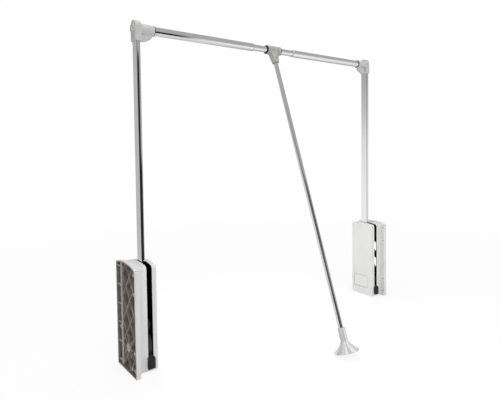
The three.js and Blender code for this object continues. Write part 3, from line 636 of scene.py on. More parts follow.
class Shop:
    """Adds the nodes of one material or world."""

    def __init__(self, owner: bpy.types.Material | bpy.types.World) -> None:
        """Empties the owner's tree and starts from it.

        Args:
            owner: The material or world.
        """
        owner.use_nodes = True
        self.tree = owner.node_tree
        self.tree.nodes.clear()

    def node(self, kind: str, settings: dict | None = None, sockets: dict | None = None) -> bpy.types.Node:
        """Adds a node.

        Args:
            kind: The node's type.
            settings: Its settings.
            sockets: Values or links of its sockets, by name or number; a node gives its first output.

        Returns:
            The node.
        """
        made = self.tree.nodes.new(kind)
        for name, value in (settings or {}).items():
            setattr(made, name, value)
        for name, value in (sockets or {}).items():
            if isinstance(value, Value):
                value = value.socket
            elif isinstance(value, bpy.types.Node):
                value = value.outputs[0]
            if isinstance(value, Socket):
                self.tree.links.new(value, made.inputs[name])
            else:
                made.inputs[name].default_value = value
        return made

    def place(self) -> Socket:
        """The piece's own coordinates."""
        return self.node("ShaderNodeTexCoord").outputs["Object"]

    def vector(self, operation: str, sockets: dict) -> bpy.types.Node:
        """Adds one Vector Math node."""
        return self.node("ShaderNodeVectorMath", {"operation": operation}, sockets)

    def noise(self, scale: float, stretch: Spot = (1, 1, 1), detail: float = 3.0) -> Value:
        """Soft noise on the piece's own coordinates, from 0 to 1 about a half.

        Args:
            scale: How many waves go into a metre.
            stretch: How the noise is stretched along each axis.
            detail: How many finer layers it has.

        Returns:
            The noise.
        """
        mapped = self.node("ShaderNodeMapping", None, {"Vector": self.place(), "Scale": stretch})
        made = self.node("ShaderNodeTexNoise", None, {"Vector": mapped, "Scale": scale, "Detail": detail})
        return Value(self, made.outputs[0])

    def cells(self, scale: float) -> Value:
        """Distance to the nearest of scattered points, for speckle and pits."""
        made = self.node("ShaderNodeTexVoronoi", None, {"Vector": self.place(), "Scale": scale})
        return Value(self, made.outputs["Distance"])

    def blend(self, share: Value, first: Colour | Socket, second: Colour) -> Socket:
        """Mixes two colours.

        Args:
            share: How much of the second is in it.
            first: The first colour, or the socket that gives it.
            second: The second colour.

        Returns:
            The mixed colour.
        """
        under = first if isinstance(first, Socket) else (*first, 1)
        sockets = {"Factor": share, 6: under, 7: (*second, 1)}
        return self.node("ShaderNodeMix", {"data_type": "RGBA"}, sockets).outputs[2]

    def mix(self, share: Value, first: bpy.types.Node, second: bpy.types.Node) -> bpy.types.Node:
        """Mixes two shaders, with this share of the second."""
        return self.node("ShaderNodeMixShader", None, {0: share, 1: first, 2: second})

    def span(self, value: Value, low: float, high: float) -> Value:
        """Stretches the part of a value between low and high to 0 to 1."""
        made = self.node("ShaderNodeMapRange", None, {0: value, 1: low, 2: high})
        return Value(self, made.outputs[0])


@dataclass(frozen=True)
class Finish:
    """A surface: its colours, gloss and fine relief.

    The second colour is mixed in by soft clouds. The relief is noise on the piece's own coordinates.
    """

    name: str
    slot: str
    colour: Colour
    second: Colour
    roughness: float
    metallic: float = 0.0
    roughness_spread: float = 0.08
    cloud: float = 30.0
    patches: Point = (0.35, 0.7)
    gloss_cloud: float = 2.3
    relief: float = 900.0
    relief_depth: float = 0.00002
    coat: float = 0.0
    specular: float = 0.5

    def height(self, shop: Shop) -> Value:
        """The relief's height, from 0 to 1."""
        return shop.noise(self.relief, detail=4.0)

    def shares(self, shop: Shop) -> Value:
        """How much of the second colour shows at each place."""
        return shop.span(shop.noise(self.cloud), *self.patches)

    def material(self) -> bpy.types.Material:
        """The material, made once and shared by all pieces of this finish.

        Returns:
            The material.
        """
        known = bpy.data.materials.get(self.name)
        if known is not None:
            return known
        made = bpy.data.materials.new(self.name)
        shop = Shop(made)
        share = self.shares(shop)
        bump = shop.node(
            "ShaderNodeBump", None,
            {"Height": self.height(shop), "Distance": self.relief_depth, "Strength": 1.0},
        )
        middle = self.roughness - self.roughness_spread / 2
        rough = shop.noise(self.cloud * self.gloss_cloud) * self.roughness_spread + middle
        shader = shop.node("ShaderNodeBsdfPrincipled", None, {
            "Base Color": shop.blend(share, self.colour, self.second),
            "Roughness": rough,
            "Metallic": self.metallic,
            "Coat Weight": self.coat,
            "Specular IOR Level": self.specular,
            "Normal": bump,
        })
        shop.node("ShaderNodeOutputMaterial", None, {"Surface": shader})
        return made


@dataclass(frozen=True)
class PeeledPaint(Finish):
    """Powder paint with the soft dimples of orange peel over a fine grain."""

    peel: float = 420.0
    dimples: float = 0.7

    def height(self, shop: Shop) -> Value:
        """Dimples with fine grain on top."""
        return shop.cells(self.peel) * self.dimples + shop.noise(self.relief) * (1 - self.dimples)


@dataclass(frozen=True)
class Casting(Finish):
    """Bare die casting: mottled, with small pits."""

    pits: float = 700.0
    pit_edges: Point = (0.05, 0.3)

    def height(self, shop: Shop) -> Value:
        """Coarse skin with scattered pits."""
        return shop.span(shop.cells(self.pits), *self.pit_edges) * 0.5 + shop.noise(self.relief) * 0.5


@dataclass(frozen=True)
class Plating(Finish):
    """Bright plating with faint wipe marks, which only the gloss shows."""

    wipes: float = 60.0
    wipe_stretch: Spot = (1, 1, 0.25)
    patches: Point = (0.4, 0.75)

    def shares(self, shop: Shop) -> Value:
        """Long soft wipe marks."""
        return shop.span(shop.noise(self.wipes, self.wipe_stretch, 5.0), *self.patches)


@dataclass(frozen=True)
class Moulding(Finish):
    """A silvery coat with painted reflections: soft light and dark bands that run along the pull rod."""

    waves: float = 2.4
    patches: Point = (0.38, 0.62)

    def shares(self, shop: Shop) -> Value:
        """Painted reflection bands that change only round the pull rod's axis.

        Args:
            shop: The material's nodes.

        Returns:
            How much of the second colour shows.
        """
        start = (0, DEPTH_SHIFT - ARM_SETBACK, ROD_HEIGHT)
        reach = shop.vector("SUBTRACT", {0: shop.place(), 1: start})
        upright = shop.node("ShaderNodeMapping", None, {"Vector": reach, "Rotation": (LEAN, 0, 0)})
        flat = shop.vector("MULTIPLY", {0: upright, 1: (1, 1, 0)})
        sockets = {"Vector": shop.vector("NORMALIZE", {0: flat}), "Scale": self.waves, "Detail": 1.0}
        bands = shop.node("ShaderNodeTexNoise", None, sockets)
        return shop.span(Value(shop, bands.outputs[0]), *self.patches)


PAINT = PeeledPaint("housing_paint", "housing_grey", (0.78, 0.78, 0.775), (0.75, 0.75, 0.745), 0.34,
                    metallic=0.2, relief=1800, relief_depth=0.000006, cloud=22)
# Bare cast of the hollow towards the wall; on the cover the same colour is painted shade in the groove round
# the field.
BARE_CAST_AND_GROOVE_SHADE = Casting("housing_bare_cast", "housing_grey", (0.305, 0.262, 0.245), (0.225, 0.19, 0.175), 0.55,
                    metallic=0.15, cloud=55, relief=1500, relief_depth=0.00004)
RIB_TOP = Casting("housing_rib_top", "housing_grey", (0.44, 0.39, 0.36), (0.36, 0.315, 0.29), 0.5,
                  metallic=0.15, cloud=70, relief=1500, relief_depth=0.00003)
SATIN = Finish("connector_satin", "connector_grey", (0.53, 0.535, 0.515), (0.49, 0.495, 0.475), 0.34,
               metallic=0.1, cloud=45, relief=1600, relief_depth=0.000002)
# A darker copy of the connector satin: painted shade for the tee, which gets less light.
TEE_SATIN_PAINTED_SHADE = Finish("tee_satin", "connector_grey", (0.40, 0.405, 0.39), (0.36, 0.365, 0.35), 0.34,
                   metallic=0.1, cloud=45, relief=1600, relief_depth=0.000002)
CHROME = Plating("tube_chrome", "chrome", (0.86, 0.86, 0.86), (0.82, 0.825, 0.83), 0.07,
                 metallic=1.0, roughness_spread=0.04, relief=250, relief_depth=0.0000006)
STEEL = Finish("bright_steel", "steel", (0.60, 0.60, 0.59), (0.50, 0.50, 0.49), 0.32,
               metallic=0.9, cloud=120, relief=2500, relief_depth=0.00001)
# Near-black painted shade on the hollow faces inside the housing, which show through the slot.
INNER_PAINTED_SHADE = Finish("housing_lining", "housing_grey", (0.010, 0.010, 0.010), (0.014, 0.014, 0.014), 0.70,
                cloud=60, relief=1500, relief_depth=0.00002, specular=0.15)
BLACK = Finish("black_plastic", "black_plastic", (0.014, 0.014, 0.014), (0.020, 0.020, 0.020), 0.42,
               cloud=60, relief=2400, relief_depth=0.00001, specular=0.35)
RUBBER = Finish("black_rubber", "rubber", (0.020, 0.020, 0.020), (0.028, 0.028, 0.027), 0.72,
                cloud=90, relief=2000, relief_depth=0.00002, specular=0.25)
NYLON = Finish("pale_nylon", "nylon", (0.76, 0.75, 0.70), (0.70, 0.69, 0.64), 0.45,
               cloud=80, relief=1500, relief_depth=0.00001)
# The grip's and end rings' silver, with reflection bands painted into its colour.
SILVER_PAINTED_REFLECTIONS = Moulding("silver_coat", "silver", (0.80, 0.805, 0.80), (0.46, 0.465, 0.46), 0.26,
                  metallic=0.25, relief=2600, relief_depth=0.000002, coat=0.2)


# Side housing


@dataclass
class HousingForm:
    """The outlines and shared places of a side housing, in its side's own frame."""

    height: float = 0.266
    flange_depth: float = 0.114
    flange_thickness: float = 0.012
    thickness: float = 0.0627
    parting: float = 0.0368
    parting_gap: float = 0.00015
    shell: float = 0.0025
    rim: float = 0.003
    body_front: float = 0.100
    body_rear: float = 0.010
    body_bottom: float = 0.0048
    body_crown: float = 0.003
    crown_radius: float = 0.205
    crown_setback: float = 0.052
    crown_reach: float = 0.06
    crown_steps: int = 32
    corner: float = 0.009
    corner_steps: int = 10
    slot_far: float = 0.0502
    slot_bottom: float = 0.014
    slot_rear: float = 0.038
    seat_top: float = 0.240
    seat_front: float = 0.041
    ledge: float = 0.006
    screws: tuple[Point, ...] = ((-0.020, 0.013), (-0.017, 0.097), (-0.0307, 0.250), (-0.084, 0.014))
    screw_seat: float = 0.0046
    screw_radius: float = 0.0017
    screw_bore: float = 0.002
    screw_post: float = 0.004
    skin_share: float = 0.7

    def outline(self, front: float, rear: float, bottom: float, inset: float) -> list[Point]:
        """The outline of a housing half: straight sides under a bowed crown.

        Args:
            front: How far the front is from the rear edge's plane.
            rear: How far the rear is from it.
            bottom: The height of the straight lower side.
            inset: How far the crown lies below the housing's crown.

        Returns:
            Its corners as y and z.
        """
        radius = self.crown_radius - inset
        centre = self.height - self.crown_radius
        rear_top = centre + math.sqrt(radius**2 - (self.crown_setback - rear) ** 2)
        corner_y = self.corner - front
        reach = radius - self.corner
        corner_z = centre + math.sqrt(reach**2 - (corner_y + self.crown_setback) ** 2)
        end = math.atan2(corner_z - centre, corner_y + self.crown_setback)
        start = math.atan2(rear_top - centre, self.crown_setback - rear)
        crown = arc((-self.crown_setback, centre), radius, start, end, self.crown_steps)
        corner = arc((corner_y, corner_z), self.corner, end, math.pi, self.corner_steps)
        return [(-front, bottom), (-rear, bottom), *crown, *corner[1:]]

    def flange(self, inset: float) -> list[Point]:
        """The flange's outline, drawn in by inset."""
        return self.outline(self.flange_depth - inset, inset, inset, inset)

    def body(self, inset: float) -> list[Point]:
        """The body's outline, drawn in by inset."""
        front, rear = self.body_front - inset, self.body_rear + inset
        return self.outline(front, rear, self.body_bottom + inset, self.body_crown + inset)

    def in_flange(self, y: float, z: float, margin: float) -> bool:
        """Whether a place lies within the flange's outline, by a margin from its edge."""
        return self.within(y, z, (-self.flange_depth + margin, -margin), margin, margin)

    def in_body(self, y: float, z: float) -> bool:
        """Whether a place lies inside the body's shell.

        Args:
            y: The place's depth.
            z: The place's height.

        Returns:
            Whether it lies inside.
        """
        margin = self.shell * self.skin_share
        sides = (-self.body_front + margin, -self.body_rear - margin)
        return self.within(y, z, sides, self.body_bottom + margin, self.body_crown + margin)

    def within(self, y: float, z: float, sides: Point, bottom: float, crown: float) -> bool:
        """Whether a place lies between two sides, above a bottom and under the crown's arc.

        Args:
            y: The place's depth.
            z: The place's height.
            sides: The outline's front and rear.
            bottom: The outline's lowest height.
            crown: How far the arc is moved inwards.

        Returns:
            Whether it lies inside.
        """
        reach = math.hypot(y + self.crown_setback, z - (self.height - self.crown_radius))
        low = z < self.height - self.crown_reach
        return sides[0] < y < sides[1] and z > bottom and (low or reach < self.crown_radius - crown)


@dataclass
class HousingBase:
    """The half on the wardrobe's wall: flange, body half and the ribbed web between them.

    A hole of the web is given by its cell across and up, and its size as a share of a cell. The
    lattice of the left base is moved up by left_shift of a cell.
    """

    form: HousingForm = field(default_factory=HousingForm)
    edge: float = 0.0007
    rim_edge: float = 1.6
    wall_edge: float = 0.6
    body_near: float = 0.002
    web_near: float = 0.013
    web_thickness: float = 0.003
    rib_near: float = 0.0025
    rib_thickness: float = 0.0016
    rib_reach: float = 0.25
    rib_edge: float = 0.0005
    rib_top: float = 0.0009
    fine_edge: float = 0.0004
    pitch: float = 0.057
    width: float = 0.045
    setback: float = 0.076
    centre_height: float = 0.174
    rows: int = 9
    left_shift: float = 0.57
    holes: tuple[Spot, ...] = (
        (0.0, 0.0, 0.7), (0.0, -1.0, 0.7), (-0.27, 0.9, 0.28), (0.5, 0.5, 0.45), (0.5, -0.5, 0.45),
    )
    hole_corner: float = 0.0012
    bar_rear: float = 0.0217
    bar_front: float = 0.0327
    bar_lift: float = 0.001
    bar_edge: float = 0.0006
    channel_bottom: float = 0.0125
    channel_pitch: float = 0.0475
    channel_count: int = 6
    channel_half: float = 0.002
    channel_lap: float = 0.0005
    hub: float = 0.011
    hub_chamfer: float = 0.0008
    blades: int = 8
    blade_reach: float = 0.030
    pin_near: float = 0.0037
    pin_far: float = 0.0393
    screw_boss: float = 0.0054
    screw_boss_chamfer: float = 0.0005
    screw_head_bore: float = 0.0038
    ledge_gap: float = 0.0001
    mount_inset: float = 0.0066
    mount_heights: tuple[float, ...] = (0.018, 0.060, 0.200, 0.245)
    mount_bore: float = 0.0024
    mount_boss: float = 0.0046
    mount_sink: float = 0.001
    mount_skin: float = 0.0012

    @property
    def web_middle(self) -> float:
        """The middle of the web, up to which its ribs reach."""
        return self.web_near + self.web_thickness / 2

    @property
    def mounts(self) -> list[Point]:
        """The axes of the mounting holes as y and z."""
        return [(self.mount_inset - self.form.flange_depth, z) for z in self.mount_heights]

    def build(self, side: Side) -> None:
        """Models one base and settles it.

        Args:
            side: The side, whose lattice has its own height.
        """
        form = self.form
        shift = self.left_shift if side is Side.LEFT else 0.0
        inner = form.parting - form.parting_gap
        base = Bench.prism(form.flange(0), 0, form.flange_thickness)
        Bench.round(base, beyond(form.flange_thickness), self.edge * self.rim_edge)
        Bench.round(base, before(0), self.edge * self.wall_edge, 2)
        body = Bench.prism(form.body(0), self.body_near, inner)
        Bench.round(body, beyond(inner), self.edge * 0.5, 2)
        Bench.work(base, Cut.JOIN, [body])
        Bench.work(base, Cut.TAKE, [
            Bench.prism(form.flange(form.rim), -OVERRUN, form.flange_thickness - form.rim),
            Bench.prism(form.body(form.shell), -OVERRUN, self.web_near),
            Bench.prism(form.body(form.shell), self.web_near + self.web_thickness, inner + OVERRUN),
        ])
        Bench.work(base, Cut.TAKE, self.diamonds(shift))
        Bench.work(base, Cut.JOIN, [self.lattice(shift), *self.channel(), *self.radials(), *self.bosses()])
        Bench.work(base, Cut.TAKE, self.bores())
        Bench.dress(base, (PAINT, BARE_CAST_AND_GROOVE_SHADE, RIB_TOP, INNER_PAINTED_SHADE), self.skin)
        Bench.on_side(base, side, "housing_base", PAINT, angle=25)

    def diamonds(self, shift: float) -> list[Piece]:
        """The openings of the web.

        Args:
            shift: How far the lattice is moved up, as a share of its pitch.

        Returns:
            The solids to take out.
        """
        made = []
        near, far = self.web_near - OVERRUN, self.web_near + self.web_thickness + OVERRUN
        for across, up, size in self.holes:
            y = across * self.width - self.setback
            z = self.centre_height + (up + shift) * self.pitch
            half, rise = self.width * size / 2, self.pitch * size / 2
            hole = Bench.prism([(y, z - rise), (y + half, z), (y, z + rise), (y - half, z)], near, far)
            Bench.round(hole, along(0), self.hole_corner)
            room = Bench.prism(self.form.body(2 * self.form.shell), near, far)
            made.append(Bench.work(hole, Cut.KEEP, [room]))
        return made

    def lattice(self, shift: float) -> Piece:
        """The crossing ribs of the web, trimmed to the body.

        Args:
            shift: How far they are moved up, as a share of the pitch.

        Returns:
            The ribs as one solid.
        """
        form = self.form
        half = self.rib_thickness / 2
        lean = math.atan2(self.pitch, self.width)
        ribs: list[Piece] = []
        for row in range(self.rows):
            z = self.centre_height + (row - (self.rows - 1) / 2 + 0.5 + shift) * self.pitch
            for way in (1, -1):
                low = (self.rib_near, -self.rib_reach - self.setback, z - half)
                high = (self.web_middle, self.rib_reach - self.setback, z + half)
                rib = Bench.block(low, high, self.rib_edge, 2)
                ribs.append(Bench.turn_about(rib, way * lean, (0, -self.setback, z)))
        grid = Bench.work(ribs[0], Cut.JOIN, ribs[1:])
        room = Bench.prism(form.body(form.shell / 2), 0, self.web_middle)
        rear = -(self.bar_rear + self.bar_front) / 2
        front = Bench.block((0, -form.flange_depth, 0), (self.web_middle, rear, form.height))
        return Bench.work(grid, Cut.KEEP, [room, front])

    def channel(self) -> list[Piece]:
        """The upright bar behind the lattice and the short ribs from it to the rear edge.

        Returns:
            The solids to join.
        """
        form = self.form
        near, deep = self.rib_near, self.web_middle
        top = form.height - form.body_crown - form.shell
        low = (near, -self.bar_front, form.body_bottom + self.bar_lift)
        bar = Bench.block(low, (deep, -self.bar_rear, top), self.bar_edge, 2)
        made = [Bench.work(bar, Cut.KEEP, [Bench.prism(form.body(form.shell / 2), 0, deep)])]
        wall = form.body_rear + form.shell / 2
        rim = form.rim / 2
        for count in range(self.channel_count):
            z = self.channel_bottom + count * self.channel_pitch
            bottom, top = z - self.channel_half, z + self.channel_half
            for front, rear, far in (
                (-self.bar_rear - OVERRUN, -wall, deep),
                (-wall - self.channel_lap, -rim, form.flange_thickness - rim),
            ):
                made.append(Bench.block((near, front, bottom), (far, rear, top), self.fine_edge, 2))
        return made

    def radials(self) -> list[Piece]:
        """The blades round the pivot's boss.

        Returns:
            The solids to join.
        """
        y, z = PIVOT
        half = self.rib_thickness / 2
        low = (self.rib_near + SEAT_GAP, y, z - half)
        high = (self.web_middle, y + self.blade_reach, z + half)
        made = []
        for count in range(self.blades):
            blade = Bench.block(low, high, self.fine_edge, 2)
            made.append(Bench.turn_about(blade, count * TURN / self.blades, (0, y, z)))
        return made

    def bosses(self) -> list[Piece]:
        """The bosses of the pivot, the screws and the mounting holes, and the spring's ledge.

        Returns:
            The solids to join.
        """
        form = self.form
        inner = form.parting - form.parting_gap
        made = [self.boss(PIVOT, self.hub, self.hub_chamfer, inner, HALF_ROUND)]
        for place in form.screws:
            top = self.web_near + STEP
            made.append(self.boss(place, self.screw_boss, self.screw_boss_chamfer, top, SMALL_ROUND))
            made.append(Bench.rod(form.screw_post, self.web_near, inner, Way.X, place))
        top = form.flange_thickness - form.rim / 2
        made += [Bench.rod(self.mount_boss, 0, top, Way.X, place) for place in self.mounts]
        ledge = form.seat_top + SEAT_GAP
        low = (self.web_near, -form.seat_front, ledge)
        made.append(Bench.block(low, (inner, -form.body_rear - self.ledge_gap, ledge + form.ledge)))
        return made

    def boss(self, place: Point, radius: float, chamfer: float, top: float, steps: int) -> Piece:
        """A round boss that starts at the ribs' tops, with a chamfer there.

        Args:
            place: Its axis as y and z.
            radius: Its radius.
            chamfer: How wide the chamfer is.
            top: Where it ends.
            steps: How many faces go round.

        Returns:
            The boss.
        """
        near = self.rib_near
        profile = [(0, near), (radius - chamfer, near), (radius, near + chamfer), (radius, top), (0, top)]
        return Bench.turned(profile, Way.X, place, steps)

    def bores(self) -> list[Piece]:
        """The holes for the pin, the cover screws and the mounting screws.

        Returns:
            The solids to take out.
        """
        form = self.form
        start, seat, inner = -OVERRUN, form.screw_seat, form.parting + OVERRUN
        made = [Bench.rod(PIVOT_BORE, self.pin_near, self.pin_far, Way.X, PIVOT, HALF_ROUND)]
        head, shank = self.screw_head_bore, form.screw_bore
        stepped = [(0, start), (head, start), (head, seat), (shank, seat), (shank, inner), (0, inner)]
        made += [Bench.turned(stepped, Way.X, place, SMALL_ROUND) for place in form.screws]
        top, bore = form.flange_thickness, self.mount_bore
        wide = bore + self.mount_sink
        sunk = [
            (0, start), (bore, start), (bore, top - self.mount_sink),
            (wide, top), (wide, top + OVERRUN), (0, top + OVERRUN),
        ]
        made += [Bench.turned(sunk, Way.X, place, SMALL_ROUND) for place in self.mounts]
        return made

    def skin(self, place: Vector, facing: float) -> int:
        """Which skin a face has: bare cast in the hollow towards the wall, paler rib tops, painted shade in
        the cavity.

        Args:
            place: The face's middle.
            facing: How far it faces along x.

        Returns:
            0 for paint, 1 for bare cast, 2 for rib tops, 3 for the near-black painted shade in the cavity.
        """
        form = self.form
        x, y, z = place
        back = self.web_near + self.web_thickness - CLOSE
        mount = min(math.dist((y, z), axis) for axis in self.mounts) < self.mount_bore + self.mount_skin
        # Faces in the cavity between the web and the cover get the near-black painted shade.
        if back < x < form.parting - 2 * CLOSE and form.in_body(y, z):
            return 3
        if x < self.rib_near + self.rib_top and facing < -0.5:
            return 2
        if mount or (x > form.flange_thickness - CLOSE and facing > 0.5):
            return 0
        hollow = facing < -0.3 or form.in_flange(y, z, form.rim * 0.5)
        return 1 if x < self.web_near + CLOSE and hollow else 0


@dataclass
class HousingCover:
    """The half towards the clothes, with the arm's slot and a recessed field, with painted shade in the
    groove round it.
    """

    form: HousingForm = field(default_factory=HousingForm)
    edge: float = 0.006
    parting_edge: float = 0.00035
    field_centre: Point = (-0.050, 0.0515)
    field_size: Point = (0.060, 0.043)
    field_depth: float = 0.0006
    field_corner: float = 0.003
    groove: float = 0.0012
    boss: float = 0.010
    rib: float = 0.0025
    ledge_gap: float = 0.0012
    screw_end: float = 0.0529

    def build(self) -> None:
        """Models the cover and settles it on both sides."""
        form = self.form
        near = form.parting + form.parting_gap
        top = form.thickness
        inside = top - form.shell
        cover = Bench.prism(form.body(0), near, top)
        Bench.round(cover, beyond(top), self.edge, 8)
        Bench.round(cover, before(near), self.parting_edge, 2)
        plate = self.plate(0, top - self.field_depth)
        groove = self.plate(0, top - 2 * self.field_depth)
        Bench.work(groove, Cut.TAKE, [self.plate(self.groove, top - 3 * self.field_depth)])
        slot = Bench.block(
            (near - OVERRUN, -form.flange_depth, form.slot_bottom),
            (form.slot_far, -form.slot_rear, form.height + OVERRUN),
        )
        Bench.work(cover, Cut.TAKE, [
            Bench.prism(form.body(form.shell), near - OVERRUN, inside), slot, plate, groove,
        ])
        ledge = form.seat_top + SEAT_GAP
        end = inside + form.shell / 2
        rib = Bench.block((near, -form.slot_rear, ledge), (end, -form.slot_rear + self.rib, form.height))
        Bench.work(rib, Cut.KEEP, [Bench.prism(form.body(form.shell / 2), near, top)])
        solids = [Bench.rod(self.boss, form.slot_far, end, Way.X, PIVOT, HALF_ROUND)]
        solids += [Bench.rod(form.screw_post, near, end, Way.X, place) for place in form.screws]
        high = (end, -form.body_rear - self.ledge_gap, ledge + form.ledge)
        solids.append(Bench.block((near, -form.seat_front, ledge), high))
        Bench.work(cover, Cut.JOIN, [*solids, rib])
        bores = [Bench.rod(PIVOT_BORE, form.slot_far - OVERRUN, inside, Way.X, PIVOT, HALF_ROUND)]
        bores += [
            Bench.rod(form.screw_bore, near - OVERRUN, self.screw_end, Way.X, place) for place in form.screws
        ]
        Bench.work(cover, Cut.TAKE, bores)
        # Painted shade: near-black inside the hollow, and the bare cast's colour in the groove round the
        # field.
        Bench.dress(cover, (PAINT, INNER_PAINTED_SHADE, BARE_CAST_AND_GROOVE_SHADE), self.skin)
        Bench.both_sides(cover, "housing_cover", PAINT, angle=25)

    def plate(self, inset: float, depth: float) -> Piece:
        """A slab with the field's outline, which reaches out of the cover.

        Args:
            inset: How far the outline is moved inwards.
            depth: Where the slab ends inside the cover.

        Returns:
            The slab.
        """
        y, z = self.field_centre
        wide, tall = (size / 2 - inset for size in self.field_size)
        corners = [(y - wide, z - tall), (y + wide, z - tall), (y + wide, z + tall), (y - wide, z + tall)]
        plate = Bench.prism(corners, depth, self.form.thickness + OVERRUN)
        return Bench.round(plate, along(0), self.field_corner - inset, 6)

    def skin(self, place: Vector, _facing: float) -> int:
        """Which skin a face has: near-black painted shade inside, and painted shade in the groove round the
        field.

        Args:
            place: The face's middle.
            _facing: How far it faces along x, which doesn't matter here.

        Returns:
            0 for paint, 1 for the near-black painted shade inside, 2 for the painted shade in the groove.
        """
        form = self.form
        x, y, z = place
        inside = form.thickness - form.shell + CLOSE
        if form.parting + STEP < x < inside and form.in_body(y, z):
            return 1
        wide, tall = (size / 2 + CLOSE for size in self.field_size)
        in_field = abs(y - self.field_centre[0]) < wide and abs(z - self.field_centre[1]) < tall
        return 2 if inside < x < form.thickness - self.field_depth * 1.5 and in_field else 0


@dataclass
class HousingFittings:
    """The screws, the pivot pin, the bumper and the upright stop of a side housing."""

    form: HousingForm = field(default_factory=HousingForm)
    head: float = 0.0035
    head_height: float = 0.002
    head_crown: tuple[Point, ...] = ((0.62, 0.0), (0.86, 0.0003), (1.0, 0.0009))
    recess: Point = (0.0036, 0.0009)
    recess_depth: float = 0.0012
    screw_length: float = 0.048
    screw_sides: int = 24
    threads: int = 30
    thread_start: float = 0.008
    thread_rest: float = 0.010
    thread_root: float = 0.82
    tip: float = 0.4
    pin_radius: float = 0.005
    pin_near: float = 0.004
    pin_far: float = 0.0599
    bumper_half: float = 0.009
    bumper_edge: float = 0.0016
    bumper_lean: float = math.radians(27)
    bumper_gap: float = 0.0005
    plug_half: float = 0.0064
    plug_bottom: float = 0.0143
    plug_lap: float = 0.0008

    def build(self) -> None:
        """Models all fittings and settles them on both sides."""
        for count, place in enumerate(self.form.screws):
            Bench.both_sides(self.screw(place), f"cover_screw_{count + 1}", STEEL)
        pin = Bench.pin(self.pin_radius, self.pin_near, self.pin_far, EDGE, PIVOT, FINE_ROUND)
        Bench.both_sides(pin, "pivot_pin", STEEL)
        Bench.both_sides(self.bumper(), "front_bumper", RUBBER)
        shift = Vector((-HALF_OPENING, DEPTH_SHIFT, 0))
        low, high = (tuple(Vector(corner) - shift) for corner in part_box("left_upright_stop"))
        Bench.both_sides(Bench.block(low, high, EDGE), "upright_stop", RUBBER)

    def screw(self, place: Point) -> Piece:
        """A pan-head screw with a cross recess.

        Args:
            place: Its axis as y and z.

        Returns:
            The screw.
        """
        far = self.form.screw_seat - SEAT_GAP
        near = far - self.head_height
        end = self.form.screw_seat + self.screw_length
        shank = self.form.screw_radius
        crown = [(self.head * share, near + deep) for share, deep in self.head_crown]
        profile = [(0, near), *crown, (self.head, far), (shank, far)]
        start, pitch = far + self.thread_start, (end - far - self.thread_rest) / self.threads
        for turn in range(self.threads):
            crest = start + turn * pitch
            profile += [(shank, crest), (shank * self.thread_root, crest + pitch / 2)]
        profile += [(shank, end - STEP), (shank * self.tip, end), (0, end)]
        screw = Bench.turned(profile, Way.X, place, self.screw_sides)
        recess = Bench.cross(place, near - OVERRUN, near + self.recess_depth, *self.recess)
        return Bench.work(screw, Cut.TAKE, recess)

    def bumper(self) -> Piece:
        """The rubber cap at the foot of the slot, with its plug.

        Returns:
            The bumper.
        """
        low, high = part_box("left_front_bumper")
        front, end = low.y - DEPTH_SHIFT, high.y - DEPTH_SHIFT
        rear = -self.form.body_front - SEAT_GAP
        start, bottom = rear - self.plug_lap, self.plug_bottom
        outlines = (
            [(front, low.z), (rear, low.z), (rear, self.top(rear)), (front, self.top(front))],
            [(start, bottom), (end, bottom), (end, self.top(end)), (start, self.top(rear))],
        )
        cap, plug = (
            Bench.prism(outline, ARM_PLANE - half, ARM_PLANE + half)
            for outline, half in zip(outlines, (self.bumper_half, self.plug_half))
        )
        Bench.round(cap, lambda a, b: min(a.y, b.y) < rear - STEP, self.bumper_edge, 5)
        return Bench.work(cap, Cut.JOIN, [plug])

    def top(self, y: float) -> float:
        """The height of the bumper's sloping top at a place from front to rear."""
        lean = self.bumper_lean
        return PIVOT[1] - (-y + PIVOT[0]) * math.tan(lean) - self.bumper_gap / math.cos(lean)


# Lift frame inside the housing


